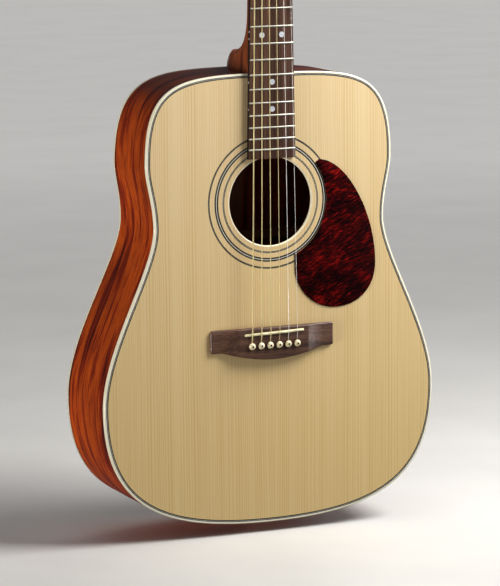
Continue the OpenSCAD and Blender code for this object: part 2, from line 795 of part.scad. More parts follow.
module inlay_dots() {
    color("#f0ece0") placed() {
        intersection() {
            dot_cylinders(dot_r, -board_t - 1, -board_t + 2);
            camber_bar(-board_t, board_end_z - 1, nut_z + 1);
        }
        side_dots();
    }
}
nut_h = 8.6;
nut_top_r = 6.6;
module nut() {
    color("ivory") placed() difference() {
        intersection() {
            translate([-nut_w / 2, -nut_h, nut_z]) cube([nut_w, nut_h, nut_len]);
            camber_bar(-nut_h + 0.4, nut_z - 1, nut_z + nut_len + 1);
            translate([0, -nut_h + nut_top_r - 0.6, nut_z]) rotate([0, 90, 0])
                translate([0, 0, -nut_w]) cylinder(r = nut_top_r, h = 2 * nut_w, $fn = 96);
        }
        for (k = [0 : 5]) rod(nut_pt(k) - [0, 0, 3], nut_pt(k) + [0, 0.6, nut_len + 1],
            string_d[k] / 2 + 0.08);
    }
}
module headstock_veneer() {
    color("#3a2620") on_head() difference() {
        head_shape(-veneer_t, 0);
        post_holes(sleeve_r, -veneer_t - 1, 1);
        translate([-40, -10, -10]) cube([80, 20, 10]);
    }
}
rod_nut_len = 13;
rod_nut_z = joint_z - neck_block_len - 3 - rod_nut_len;
module truss_rod() {
    color("dimgray") placed() translate([0, rod_y, 0]) {
        translate([0, 0, rod_nut_z + 5]) cylinder(r = rod_r, h = nut_z - 16 - rod_nut_z - 5);
        translate([-rod_r, -4, nut_z - 22]) cube([2 * rod_r, 5.4, 8]);
    }
}
module truss_rod_nut() {
    color("goldenrod") placed() translate([0, rod_y, rod_nut_z]) difference() {
        cylinder(r = 4.1, h = rod_nut_len - 1);
        translate([0, 0, 4.5]) cylinder(r = rod_r + run_gap, h = rod_nut_len);
        translate([0, 0, -1]) cylinder(r = 2.3, h = 4.6, $fn = 6);
    }
}

// Tuning machines, in the headstock's frame with the post axis at x = 0, z = 0. Those on the
// bass side are mirrored, but every worm has the same hand, so all buttons tighten one way.
gear_teeth = 14;
gear_mod = 0.75;
gear_y = head_t + 5.2;
gear_t = 3.2;
pitch_r = gear_mod * gear_teeth / 2;
worm_r = 2.75;
worm_z = pitch_r + worm_r;
lead = PI * gear_mod;
worm_half = 5;
shaft_r = 1.9;
button_x = 21;
button_t = 16;
module post_at(k) {
    on_head() translate([side_of(k) * post_x, 0, post_up(k)]) children();
}
module tuner_at(k) {
    post_at(k) mirror([side_of(k) < 0 ? 1 : 0, 0, 0]) children();
}
module y_rod(r, y0, y1) {
    translate([0, y0, 0]) rotate([-90, 0, 0]) cylinder(r = r, h = y1 - y0);
}
module x_rod(r, x0, x1) {
    translate([x0, gear_y, worm_z]) rotate([0, 90, 0]) cylinder(r = r, h = x1 - x0);
}
// Housing: its back, its half width, its top above the post and its screw tab below it
case_back = head_t + 10.6;
case_half = 8.4;
case_top = 13;
tab_low = -14;
function round_box(x0, x1, z0, z1, r) = [for (c = [[x1 - r, z1 - r, 0], [x0 + r, z1 - r, 90],
    [x0 + r, z0 + r, 180], [x1 - r, z0 + r, 270]]) for (i = [0 : 3])
        [c[0] + r * cos(c[2] + 30 * i), c[1] + r * sin(c[2] + 30 * i)]];
module housing() {
    difference() {
        union() {
            slab(head_t, case_back) polygon(round_box(-case_half, case_half, -case_half, case_top, 3));
            slab(head_t, head_t + 2) polygon(round_box(-4, 4, tab_low, 0, 3.2));
            x_rod(3.6, 8, 12);
        }
        y_rod(6.5, head_t - 1, gear_y + gear_t / 2 + 0.4);
        y_rod(post_r - 1 + run_gap, gear_y, case_back - 1);
        x_rod(3.75, -worm_half - 0.6, worm_half + 0.6);
        x_rod(shaft_r + run_gap, 0, 13);
        translate([0, head_t - 1, screw_z]) rotate([-90, 0, 0]) cylinder(r = 1.3, h = 4);
    }
}
module tuner_housings() {
    color("gainsboro") for (k = [0 : 5]) tuner_at(k) housing();
}
module tuner_bushings() {
    color("gainsboro") for (k = [0 : 5]) post_at(k) difference() {
        union() {
            y_rod(sleeve_r - 0.02, -veneer_t, head_t - 0.2);
            y_rod(7, -veneer_t - 0.9, -veneer_t);
            translate([0, -veneer_t - 3.2, 0]) rotate([-90, 0, 0]) cylinder(r = 5.6, h = 2.4, $fn = 6);
        }
        y_rod(post_r + run_gap, -10, head_t + 1);
    }
}
module tuner_screws() {
    color("silver") for (k = [0 : 5]) post_at(k) translate([0, head_t, screw_z]) rotate([90, 0, 0])
        rotate_extrude($fn = 24) polygon([[0, -3.4], [1.2, -3.4], [2.3, -2.6], [2.3, -2],
            [1.2, -2], [1.1, 7], [0.3, 8.5], [0, 8.5]]);
}
// Turns of string on each post
turns_of = [2, 3, 3, 4, 4, 5];
module gear() {
    root_r = pitch_r - 0.78;
    tip_r = pitch_r + 0.6;
    translate([0, gear_y + gear_t / 2, 0]) rotate([90, 0, 0]) linear_extrude(gear_t) union() {
        circle(root_r, $fn = 48);
        for (i = [0 : gear_teeth - 1]) rotate(90 + 360 * i / gear_teeth)
            polygon([[root_r - 0.3, -0.56], [tip_r, -0.24], [tip_r, 0.24], [root_r - 0.3, 0.56]]);
    }
}
module post(k) {
    color("silver") post_at(k) union() {
        difference() {
            rotate([90, 0, 0]) rotate_extrude() polygon([
                [0, -gear_y], [post_r, -gear_y], [post_r, veneer_t + wind_h - 4],
                [post_r - wind_waist, veneer_t + wind_h - 3],
                [post_r - wind_waist, veneer_t + wind_h + 3.4],
                [post_r, veneer_t + wind_h + 4.4], [post_r, veneer_t + post_h - 1],
                [post_r - 1, veneer_t + post_h], [0, veneer_t + post_h]]);
            translate([-5, -veneer_t - wind_h - 5.6, 0]) rotate([0, 90, 0])
                cylinder(r = 0.8, h = 10, $fn = 24);
        }
        y_rod(post_r - 1, gear_y - 1, case_back - 1.4);
        gear();
        windings(k);
    }
}
module windings(k) {
    d = string_d[k];
    for (i = [0 : turns_of[k] - 1])
        translate([0, -veneer_t - wind_h - i * (d + 0.02), 0]) rotate([90, 0, 0])
            rotate_extrude() translate([wind_r(k), 0]) circle(d / 2, $fn = 20);
}
// Worm: one helical thread around a core, in mesh with the gear
thread_root = 2.0;
thread_tip = 3.35;
thread_ring = 20;
thread_turns = 3.6;
module worm_thread() {
    n = round(thread_ring * thread_turns);
    section = [[thread_root - 0.25, -0.62], [thread_tip, -0.24], [thread_tip, 0.24],
        [thread_root - 0.25, 0.62]];
    points = [for (i = [0 : n]) let (a = 360 * (i - n / 2) / thread_ring, x = lead * a / 360)
        for (s = section) [x + s[1], s[0] * sin(a), s[0] * cos(a)]];
    faces = concat([[0, 1, 2, 3]], [[4 * n + 3, 4 * n + 2, 4 * n + 1, 4 * n]],
        [for (i = [0 : n - 1]) for (j = [0 : 3]) for (f = [0 : 1]) let (
            a = 4 * i + j, b = 4 * i + (j + 1) % 4, c = b + 4, d = a + 4)
            f == 0 ? [a, d, c] : [a, c, b]]);
    polyhedron(points, faces);
}
module worm(k) {
    color("silver") post_at(k) translate([0, gear_y, worm_z])
        rotate([0, 0, side_of(k) < 0 ? 180 : 0]) rotate([0, 90, 0]) union() {
            translate([0, 0, -worm_half - 0.3]) cylinder(r = thread_root, h = 2 * worm_half + 0.6);
            cylinder(r = shaft_r, h = button_x + 9);
            rotate([0, -90, 0]) worm_thread();
        }
}
function button_outline() = [for (i = [0 : 23]) let (a = 15 * i)
    [button_t / 2 * cos(a) * (1 + 0.08 * cos(2 * a)), 9.5 * sin(a)]];
module tuner_button(k) {
    color("gainsboro") tuner_at(k) difference() {
        union() {
            translate([button_x + button_t / 2, gear_y + 3.5, worm_z]) rotate([90, 0, 0])
                linear_extrude(7) polygon(button_outline());
            x_rod(3, 13.2, button_x + 2);
        }
        x_rod(shaft_r, 0, button_x + 9);
    }
}

soundboard();
back_plate();
side_bass();
side_treble();
neck_block();
tail_block();
linings();
binding_top();
binding_back();
purfling_top();
rosette_rings();
x_brace_left();
x_brace_right();
top_bars();
back_braces();
back_strip();
bridge_plate();
bridge();
saddle();
bridge_pins();
pickguard();
strap_button();
neck();
heel_cap();
fretboard();
frets();
inlay_dots();
nut();
headstock_veneer();
truss_rod();
truss_rod_nut();
taut_string(5);  // string_1
taut_string(4);  // string_2
taut_string(3);  // string_3
taut_string(2);  // string_4
taut_string(1);  // string_5
taut_string(0);  // string_6
tuner_housings();
tuner_bushings();
tuner_screws();
post(5);  // tuner_post_1
post(4);  // tuner_post_2
post(3);  // tuner_post_3
post(2);  // tuner_post_4
post(1);  // tuner_post_5
post(0);  // tuner_post_6
worm(5);  // tuner_worm_1
worm(4);  // tuner_worm_2
worm(3);  // tuner_worm_3
worm(2);  // tuner_worm_4
worm(1);  // tuner_worm_5
worm(0);  // tuner_worm_6
tuner_button(5);  // tuner_button_1
tuner_button(4);  // tuner_button_2
tuner_button(3);  // tuner_button_3
tuner_button(2);  // tuner_button_4
tuner_button(1);  // tuner_button_5
tuner_button(0);  // tuner_button_6
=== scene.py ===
"""Looks of the acoustic guitar: shells, bindings, strings, fittings and finishes around its CAD frame."""
import math

import bmesh
import bpy
from mathutils import Matrix, Vector


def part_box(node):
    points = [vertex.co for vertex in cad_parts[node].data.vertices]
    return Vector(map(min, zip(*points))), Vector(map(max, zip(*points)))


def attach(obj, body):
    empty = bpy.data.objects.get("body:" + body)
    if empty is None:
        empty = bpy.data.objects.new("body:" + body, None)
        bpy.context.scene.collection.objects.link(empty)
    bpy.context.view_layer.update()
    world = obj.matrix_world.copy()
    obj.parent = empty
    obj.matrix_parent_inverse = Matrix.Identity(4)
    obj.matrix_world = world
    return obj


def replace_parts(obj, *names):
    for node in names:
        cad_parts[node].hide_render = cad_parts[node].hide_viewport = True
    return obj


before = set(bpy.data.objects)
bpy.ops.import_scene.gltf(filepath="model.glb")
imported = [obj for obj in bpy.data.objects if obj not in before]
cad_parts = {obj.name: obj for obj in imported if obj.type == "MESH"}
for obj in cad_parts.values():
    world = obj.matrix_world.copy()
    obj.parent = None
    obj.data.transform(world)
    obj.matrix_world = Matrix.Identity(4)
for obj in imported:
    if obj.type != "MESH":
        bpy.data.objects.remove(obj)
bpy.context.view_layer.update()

# ---------------------------------------------------------------- places, in millimetres from the tail
MM = 0.001
ORIGIN = Vector((0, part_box("soundboard")[0].y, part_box("binding_top")[0].z))
LOW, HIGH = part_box("binding_top")
BODY_LEN = (HIGH.z - LOW.z) / MM
LOWER_W = (HIGH.x - LOW.x) / MM
LOWER_Z, WAIST_W, WAIST_Z, UPPER_W, UPPER_Z = 146, 282, 345, 301, 416
PULLS = dict(tail=132, lower_down=115, lower_up=67, waist_down=45, waist_up=30,
             upper_down=20, upper_up=98, shoulder=108)
TAIL_DEPTH, BACK_R, BACK_CROWN_Z = 127, 3660, 8
SIDE_T, PURF_W, BIND_H, TOP_BIND_H, PLATE_T = 2.2, 2.5, 5.5, 4.3, 2.8
HOLE_R = 50.4
NUT_Z = (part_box("nut")[0].z - ORIGIN.z) / MM
NUT_LEN = 5
HEAD_Z = NUT_Z + NUT_LEN
JOINT_Z = BODY_LEN - 2
BOARD_END_Z = (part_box("fretboard")[0].z - ORIGIN.z) / MM
HOLE_Z = BOARD_END_Z - HOLE_R + 1.2
HEAD_TILT = math.radians(14)


def at(x, y, z):
    """A place given in millimetres from the tail, in the frame's metres."""
    return ORIGIN + Vector((x, y, z)) * MM


def on_head(x, y, z):
    """A place in the tilted headstock's own axes."""
    c, s = math.cos(HEAD_TILT), math.sin(HEAD_TILT)
    return at(x, y * c + z * s, HEAD_Z + z * c - y * s)


# ---------------------------------------------------------------- meshes
def new_object(name, verts, faces, body="root", material=None, slot=None, smooth=True):
    mesh = bpy.data.meshes.new(name)
    mesh.from_pydata([tuple(v) for v in verts], [], faces)
    mesh.validate()
    mesh.update()
    piece = bpy.data.objects.new(name, mesh)
    bpy.context.scene.collection.objects.link(piece)
    fix_normals(piece)
    for polygon in mesh.polygons:
        polygon.use_smooth = smooth
    if material:
        mesh.materials.append(material)
    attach(piece, body)
    return piece


def fix_normals(piece):
    bm = bmesh.new()
    bm.from_mesh(piece.data)
    bmesh.ops.recalc_face_normals(bm, faces=bm.faces)
    bm.to_mesh(piece.data)
    bm.free()


def sharpen(piece, degrees=35):
    """Smooth shading that keeps the edges sharper than the given angle."""
    mesh = piece.data
    for polygon in mesh.polygons:
        polygon.use_smooth = True
    bm = bmesh.new()
    bm.from_mesh(mesh)
    limit = math.radians(degrees)
    for edge in bm.edges:
        edge.smooth = len(edge.link_faces) == 2 and edge.calc_face_angle(0) < limit
    bm.to_mesh(mesh)
    bm.free()
    return piece


def round_edges(piece, width_mm, segments=3, degrees=40):
    bevel = piece.modifiers.new("round", "BEVEL")
    bevel.width = width_mm * MM
    bevel.segments = segments
    bevel.limit_method = "ANGLE"
    bevel.angle_limit = math.radians(degrees)
    bevel.harden_normals = True
    return piece


def ring_faces(rows, columns, closed_rows=False, closed_columns=True):
    """Quads between rows of points; each row has the same number of columns."""
    faces = []
    for i in range(rows if closed_rows else rows - 1):
        for j in range(columns if closed_columns else columns - 1):
            a, b = i * columns + j, i * columns + (j + 1) % columns
            c, d = ((i + 1) % rows) * columns + (j + 1) % columns, ((i + 1) % rows) * columns + j
            faces.append((a, b, c, d))
    return faces


def loft(rings, caps=True):
    """Points and faces of a tube through closed rings."""
    n = len(rings[0])
    verts = [p for ring in rings for p in ring]
    faces = ring_faces(len(rings), n)
    if caps:
        faces.append(tuple(reversed(range(n))))
        faces.append(tuple(range((len(rings) - 1) * n, len(rings) * n)))
    return verts, faces


def lathe(profile, place, steps=48):
    """Points and faces of a turned form: profile is (radius, height) pairs, place(x, y, h) puts a point."""
    verts, faces, rows = [], [], []
    for radius, height in profile:
        if radius < 1e-6:
            rows.append([len(verts)])
            verts.append(place(0, 0, height))
            continue
        rows.append(list(range(len(verts), len(verts) + steps)))
        for j in range(steps):
            a = 2 * math.pi * j / steps
            verts.append(place(radius * math.cos(a), radius * math.sin(a), height))
    for low, high in zip(rows, rows[1:]):
        for j in range(steps):
            k = (j + 1) % steps
            quad = [low[j % len(low)], low[k % len(low)], high[k % len(high)], high[j % len(high)]]
            face = tuple(dict.fromkeys(quad))
            if len(face) > 2:
                faces.append(face)
    return verts, faces


def join(parts):
    """One set of points and faces out of several."""
    verts, faces = [], []
    for part_verts, part_faces in parts:
        base = len(verts)
        verts += part_verts
        faces += [tuple(base + i for i in face) for face in part_faces]
    return verts, faces


def tube(path, radius, sides=12):
    """A round wire along a path, without twist."""
    rings = []
    side = None
    for i, p in enumerate(path):
        ahead = path[min(i + 1, len(path) - 1)] - path[max(i - 1, 0)]
        ahead.normalize()
        side = (side or Vector((1, 0.01, 0))) - ahead * ahead.dot(side or Vector((1, 0.01, 0)))
        side.normalize()
        up = ahead.cross(side)
        rings.append([p + (side * math.cos(2 * math.pi * j / sides)
                           + up * math.sin(2 * math.pi * j / sides)) * radius for j in range(sides)])
    return loft(rings)


def bezier(a, b, c, d, t):
    u = 1 - t
    return tuple(u ** 3 * a[i] + 3 * t * u * u * b[i] + 3 * t * t * u * c[i] + t ** 3 * d[i]
                 for i in range(2))


def bezier_slope(a, b, c, d, t):
    u = 1 - t
    return tuple(3 * u * u * (b[i] - a[i]) + 6 * t * u * (c[i] - b[i]) + 3 * t * t * (d[i] - c[i])
                 for i in range(2))


HALF_LOWER, HALF_WAIST, HALF_UPPER = LOWER_W / 2, WAIST_W / 2, UPPER_W / 2
BODY_CURVES = [
    ((0, 0), (PULLS["tail"], 0), (HALF_LOWER, LOWER_Z - PULLS["lower_down"]), (HALF_LOWER, LOWER_Z)),
    ((HALF_LOWER, LOWER_Z), (HALF_LOWER, LOWER_Z + PULLS["lower_up"]),
     (HALF_WAIST, WAIST_Z - PULLS["waist_down"]), (HALF_WAIST, WAIST_Z)),
    ((HALF_WAIST, WAIST_Z), (HALF_WAIST, WAIST_Z + PULLS["waist_up"]),
     (HALF_UPPER, UPPER_Z - PULLS["upper_down"]), (HALF_UPPER, UPPER_Z)),
    ((HALF_UPPER, UPPER_Z), (HALF_UPPER, UPPER_Z + PULLS["upper_up"]),
     (PULLS["shoulder"], BODY_LEN), (0, BODY_LEN))]
CURVE_STEPS = 48


def half_outline(inset):
    points = []
    for curve in BODY_CURVES:
        for k in range(CURVE_STEPS + (curve is BODY_CURVES[-1])):
            t = k / CURVE_STEPS
            x, z = bezier(*curve, t)
            dx, dz = bezier_slope(*curve, t)
            size = math.hypot(dx, dz)
            points.append((x - inset * dz / size, z + inset * dx / size))
    return points


def outline(inset):
    """The body's outline moved inwards: from the tail up the treble side, over and down the bass side."""
    half = half_outline(inset)
    return half + [(-x, z) for x, z in reversed(half[1:-1])]


def back_y(x, z, lift=0.0):
    return TAIL_DEPTH - BACK_R - lift + math.sqrt(BACK_R ** 2 - x * x - (z - BACK_CROWN_Z) ** 2)


def from_top(depth):
    return lambda x, z: depth


def from_back(lift):
    return lambda x, z: back_y(x, z, lift)


def rim_sweep(name, profile, material, slot, stations=None, smooth_angle=40):
    """A strip that follows the body's rim: profile is a closed list of (inset, height function)."""
    rows = [[at(x, height(x, z), z) for x, z in outline(inset)] for inset, height in profile]
    whole = stations is None
    if not whole:
        first, last = stations
        rows = [[row[i % len(row)] for i in range(first, last + 1)] for row in rows]
    n = len(rows[0])
    verts = [p for row in rows for p in row]
    faces = ring_faces(len(rows), n, closed_rows=True, closed_columns=whole)
    if not whole:
        faces.append(tuple(i * n for i in range(len(rows))))
        faces.append(tuple(i * n + n - 1 for i in reversed(range(len(rows)))))
    return sharpen(new_object(name, verts, faces, "root", material, slot), smooth_angle)


def fill_between(loops):
    """Flat faces between closed loops of points, the first of which is the outer one."""
    bm = bmesh.new()
    edges = []
    for loop in loops:
        corners = [bm.verts.new(p) for p in loop]
        edges += [bm.edges.new((corners[i], corners[(i + 1) % len(corners)])) for i in range(len(corners))]
    bmesh.ops.triangle_fill(bm, use_beauty=True, use_dissolve=False, edges=edges)
    bm.verts.index_update()
    verts = [v.co.copy() for v in bm.verts]
    faces = [tuple(v.index for v in f.verts) for f in bm.faces]
    bm.free()
    return verts, faces


def circle(radius, y, steps=160, centre_z=None):
    z0 = HOLE_Z if centre_z is None else centre_z
    turns = [2 * math.pi * i / steps for i in range(steps)]
    return [at(radius * math.sin(a), y, z0 + radius * math.cos(a)) for a in turns]


# ---------------------------------------------------------------- materials
def srgb(r, g, b):
    def linear(v):
        v /= 255
        return v / 12.92 if v <= 0.04045 else ((v + 0.055) / 1.055) ** 2.4
    return (linear(r), linear(g), linear(b), 1.0)


class Finish:
    """A material and short ways to add and link its nodes."""

    def __init__(self, name, roughness=0.5, metallic=0.0, coat=0.0, coat_roughness=0.05, ior=1.5,
                 specular=0.5):
        self.material = bpy.data.materials.new(name)
        self.material.use_nodes = True
        self.tree = self.material.node_tree
        self.shader = self.tree.nodes["Principled BSDF"]
        self.put("Roughness", roughness)
        self.put("Metallic", metallic)
        self.put("Coat Weight", coat)
        self.put("Coat Roughness", coat_roughness)
        self.put("IOR", ior)
        self.put("Specular IOR Level", specular)

    def put(self, socket, value):
        if isinstance(value, bpy.types.NodeSocket):
            self.tree.links.new(value, self.shader.inputs[socket])
        else:
            self.shader.inputs[socket].default_value = value
        return self

    def add(self, kind, inputs=(), output=0, **settings):
        node = self.tree.nodes.new(kind)
        for key, value in settings.items():
            setattr(node, key, value)
        for key, value in dict(inputs).items():
            if isinstance(value, bpy.types.NodeSocket):
                self.tree.links.new(value, node.inputs[key])
            else:
                node.inputs[key].default_value = value
        return node.outputs[output]

    def split(self, vector):
        """The X, Y and Z parts of a vector."""
        parts = self.tree.nodes.new("ShaderNodeSeparateXYZ")
        self.tree.links.new(vector, parts.inputs[0])
        return parts.outputs

    def facing(self):
        """The X, Y and Z parts of the surface's direction."""
        return self.split(self.add("ShaderNodeNewGeometry", output="Normal"))

    def place(self, scale=(1, 1, 1), turn=(0, 0, 0), shift=(0, 0, 0), mirror=False):
        """Object coordinates, scaled per metre, mirrored about the centre line where asked."""
        vector = self.add("ShaderNodeTexCoord", output="Object")
        if mirror:
            parts = self.split(vector)
            size = self.math("ABSOLUTE", parts[0])
            vector = self.add("ShaderNodeCombineXYZ", {0: size, 1: parts[1], 2: parts[2]})
        return self.add("ShaderNodeMapping", {"Vector": vector, "Scale": scale, "Rotation": turn,
                                              "Location": shift})

    def math(self, operation, a, b=0.0, clamp=False):
        return self.add("ShaderNodeMath", {0: a, 1: b}, operation=operation, use_clamp=clamp)

    def noise(self, vector, scale=1.0, detail=2.0, roughness=0.5, distortion=0.0):
        return self.add("ShaderNodeTexNoise", {"Vector": vector, "Scale": scale, "Detail": detail,
                                               "Roughness": roughness, "Distortion": distortion})

    def ramp(self, factor, stops, interpolation="LINEAR"):
        node = self.tree.nodes.new("ShaderNodeValToRGB")
        node.color_ramp.interpolation = interpolation
        elements = node.color_ramp.elements
        while len(elements) < len(stops):
            elements.new(0.5)
        for element, (place, colour) in zip(elements, stops):
            element.position = place
            element.color = colour
        self.tree.links.new(factor, node.inputs[0])
        return node.outputs[0]

    def value_ramp(self, factor, stops):
        return self.ramp(factor, [(p, (v, v, v, 1)) for p, v in stops])

    def mix(self, factor, a, b, blend="MIX"):
        node = self.tree.nodes.new("ShaderNodeMix")
        node.data_type = "RGBA"
        node.blend_type = blend
        for key, value in ((0, factor), (6, a), (7, b)):
            if isinstance(value, bpy.types.NodeSocket):
                self.tree.links.new(value, node.inputs[key])
            else:
                node.inputs[key].default_value = value
        return node.outputs[2]

    def bump(self, height, strength=0.2, distance_mm=0.2, under=None):
        inputs = {"Height": height, "Strength": strength, "Distance": distance_mm * MM}
        if under is not None:
            inputs["Normal"] = under
        return self.put("Normal", self.add("ShaderNodeBump", inputs))


GRAIN_MM = 3.1


def spruce():
    """Book-matched, straight-grained top under a thin satin lacquer, with painted shade that deepens its
    colour towards the tail.
    """
    f = Finish("spruce_top", roughness=0.38, coat=0.25, coat_roughness=0.25)
    sway = f.noise(f.place((5, 5, 4), mirror=True), detail=1)
    bend = f.math("MULTIPLY", f.math("SUBTRACT", sway, 0.5), 0.005)
    parts = f.split(f.place(mirror=True))
    across = f.math("ADD", parts[0], bend)
    grain_at = f.add("ShaderNodeCombineXYZ", {0: across, 1: 0.0, 2: f.math("MULTIPLY", parts[2], 0.006)})
    fine = f.noise(grain_at, 900, detail=2, roughness=0.6)
    boards = f.noise(grain_at, 22, detail=2)
    drift = f.math("MULTIPLY", f.noise(grain_at, 40, detail=1), 0.014)
    turns = f.math("MULTIPLY", f.math("ADD", across, drift), 2 * math.pi / (GRAIN_MM * MM))
    rings = f.math("POWER", f.math("ADD", f.math("MULTIPLY", f.math("SINE", turns), 0.5), 0.5), 2.5)
    colour = f.ramp(boards, [(0.30, srgb(230, 207, 160)), (0.50, srgb(227, 202, 155)),
                             (0.68, srgb(229, 204, 158))])
    strength = f.value_ramp(f.noise(grain_at, 90, detail=2), [(0.35, 0.15), (0.62, 0.75)])
    colour = f.mix(f.math("MULTIPLY", rings, strength), colour, srgb(206, 168, 110))
    colour = f.mix(f.value_ramp(fine, [(0.48, 0.0), (0.66, 0.42)]), colour, srgb(212, 178, 122))
    silk = f.noise(f.place((160, 160, 520), mirror=True), detail=3, roughness=0.65)
    colour = f.mix(f.value_ramp(silk, [(0.45, 0.0), (0.68, 0.12)]), colour, srgb(240, 212, 164))
    # painted shade: the colour is multiplied darker towards the tail, where the light falls off
    painted_tail_shade = f.value_ramp(parts[2], [(0.1, 1.0), (0.45, 0.0)])
    colour = f.mix(painted_tail_shade, colour, (0.97, 0.93, 0.77, 1), "MULTIPLY")
    f.put("Base Color", colour)
    f.put("Roughness", f.value_ramp(silk, [(0.3, 0.42), (0.7, 0.34)]))
    f.bump(f.math("ADD", fine, f.math("MULTIPLY", rings, 0.7)), 0.10, 0.06)
    return f.material


def mahogany(name, along, across, dark, middle, light, roughness=0.5, coat=0.5, coat_roughness=0.07,
             mirror=False, painted_shade_up=1.0):
    """Red-brown wood: along and across are the streaks' scales per metre in X, Y and Z.
    painted_shade_up is how much of the colour is left where the surface faces up: painted shade."""
    f = Finish(name, roughness=roughness, coat=coat, coat_roughness=coat_roughness, specular=0.03)
    streak_at = f.place(along, mirror=mirror)
    figure = f.noise(streak_at, 1.0, detail=4, roughness=0.55, distortion=0.35)
    pores = f.noise(f.place(across, mirror=mirror), 1.0, detail=3, roughness=0.7)
    fibre = f.noise(f.place([0.35 * v for v in across], mirror=mirror), 1.0, detail=4, roughness=0.6)
    figure = f.math("ADD", f.math("MULTIPLY", figure, 0.68), f.math("MULTIPLY", fibre, 0.32))
    cloud = f.noise(f.place((7, 7, 7), mirror=mirror), 1.0, detail=2)
    colour = f.ramp(figure, [(0.37, dark), (0.47, middle), (0.54, light), (0.66, middle)])
    colour = f.mix(f.value_ramp(pores, [(0.48, 0.0), (0.64, 0.7)]), colour, dark)
    colour = f.mix(f.value_ramp(cloud, [(0.35, 0.0), (0.7, 0.45)]), colour, dark, "MULTIPLY")
    # painted shade: surfaces that face up are darkened by their direction
    if painted_shade_up < 1:
        painted_top_shade = f.value_ramp(f.facing()[2], [(0.25, 1.0), (0.85, painted_shade_up)])
        colour = f.mix(1.0, colour, painted_top_shade, "MULTIPLY")
    f.put("Base Color", colour)
    f.bump(pores, 0.10, 0.05)
    return f.material


def rosewood(name, dark, middle, light, scale=(260, 260, 7), roughness=0.42, coat=0.1, specular=0.08,
             painted_side_shade=False):
    """Dark open-grained wood with long pores; painted_side_shade paints the long sides, which face sideways,
    near black as painted shade.
    """
    f = Finish(name, roughness=roughness, coat=coat, coat_roughness=0.25, specular=specular)
    figure = f.noise(f.place(tuple(v * 0.35 for v in scale)), 1.0, detail=4, roughness=0.6, distortion=0.4)
    pores = f.noise(f.place(scale), 3.2, detail=2, roughness=0.6)
    colour = f.ramp(figure, [(0.28, dark), (0.48, middle), (0.62, light), (0.78, middle)])
    colour = f.mix(f.value_ramp(pores, [(0.50, 0.0), (0.62, 0.75)]), colour, dark)
    # painted shade: faces that point sideways are mixed towards near black
    if painted_side_shade:
        sideways = f.math("ABSOLUTE", f.facing()[0])
        colour = f.mix(f.value_ramp(sideways, [(0.55, 0.0), (0.8, 0.85)]), colour, srgb(14, 12, 12))
    f.put("Base Color", colour)
    f.put("Roughness", f.value_ramp(pores, [(0.4, roughness - 0.06), (0.65, roughness + 0.2)]))
    f.bump(f.math("SUBTRACT", 1.0, f.value_ramp(pores, [(0.5, 0.0), (0.62, 1.0)])), 0.25, 0.06)
    return f.material


def bare_wood(name, light, dark, scale=(300, 300, 9), roughness=0.72):
    f = Finish(name, roughness=roughness)
    grain = f.noise(f.place(scale), 1.0, detail=4, roughness=0.6)
    broad = f.noise(f.place(tuple(v * 0.12 for v in scale)), 1.0, detail=2)
    colour = f.ramp(grain, [(0.35, light), (0.58, light), (0.72, dark)])
    f.put("Base Color", f.mix(f.value_ramp(broad, [(0.3, 0.0), (0.7, 0.35)]), colour, dark))
    f.bump(grain, 0.2, 0.1)
    return f.material


def tortoise():
    """Dark red celluloid with finer, brighter flecks that rise to the right."""
    f = Finish("tortoise_guard", roughness=0.4, coat=0.3, coat_roughness=0.03, specular=0.03)
    here = f.add("ShaderNodeTexCoord", output="Object")
    warp = f.add("ShaderNodeTexNoise", {"Vector": f.place((22, 22, 22)), "Scale": 1.0, "Detail": 2.0},
                 output=1)
    warped = f.add("ShaderNodeVectorMath", {0: here, 1: f.add(
        "ShaderNodeVectorMath", {0: warp, 1: (0.012, 0.012, 0.012)}, operation="MULTIPLY")})

    def flecks(tilt, length_mm, width_mm, detail):
        turned = f.add("ShaderNodeMapping", {
            "Vector": warped, "Rotation": (0, math.radians(tilt), 0),
            "Scale": (length_mm * MM, 0.02, width_mm * MM)}, vector_type="TEXTURE")
        return f.noise(turned, 1.0, detail=detail, roughness=0.62)

    streaks = f.math("ADD", f.math("MULTIPLY", flecks(-30, 13, 1.8, 4), 0.6),
                     f.math("MULTIPLY", flecks(-10, 7, 1.2, 3), 0.4))
    cloud = f.noise(f.place((45, 45, 60)), 1.0, detail=3)
    depth = f.math("ADD", f.math("MULTIPLY", streaks, 0.72), f.math("MULTIPLY", cloud, 0.28))
    colour = f.ramp(depth, [(0.43, srgb(12, 1, 2)), (0.49, srgb(34, 2, 3)), (0.54, srgb(66, 4, 4)),
                            (0.58, srgb(112, 9, 7)), (0.64, srgb(160, 24, 16))])
    f.put("Base Color", colour)
    f.bump(depth, 0.02, 0.02)
    return f.material


def moulded(name, colour, shade, roughness=0.3, coat=0.4, grain=700):
    """Plastic or bone: a slight cloudiness and fine mottling."""
    f = Finish(name, roughness=roughness, coat=coat, coat_roughness=0.12)
    cloud = f.noise(f.place((30, 30, 30)), 1.0, detail=3)
    speck = f.noise(f.place((grain, grain, grain)), 1.0, detail=2)
    tint = f.math("ADD", f.math("MULTIPLY", cloud, 0.7), f.math("MULTIPLY", speck, 0.3))
    f.put("Base Color", f.ramp(tint, [(0.35, colour), (0.68, shade)]))
    f.put("Roughness", f.value_ramp(speck, [(0.3, roughness - 0.05), (0.7, roughness + 0.1)]))
    f.bump(speck, 0.04, 0.03)
    return f.material


def metal(name, colour, shade, roughness=0.22, brush=(900, 900, 900), metallic=1.0, wear=0.12):
    f = Finish(name, roughness=roughness, metallic=metallic)
    lines = f.noise(f.place(brush), 1.0, detail=3, roughness=0.6)
    smudge = f.noise(f.place((60, 60, 60)), 1.0, detail=3)
    f.put("Base Color", f.mix(f.value_ramp(smudge, [(0.35, 0.0), (0.7, 1.0)]), colour, shade))
    rough = f.math("ADD", f.math("MULTIPLY", smudge, wear), roughness - wear / 2)
    f.put("Roughness", f.math("ADD", rough, f.math("MULTIPLY", lines, 0.06)))
    f.bump(lines, 0.05, 0.02)
    return f.material


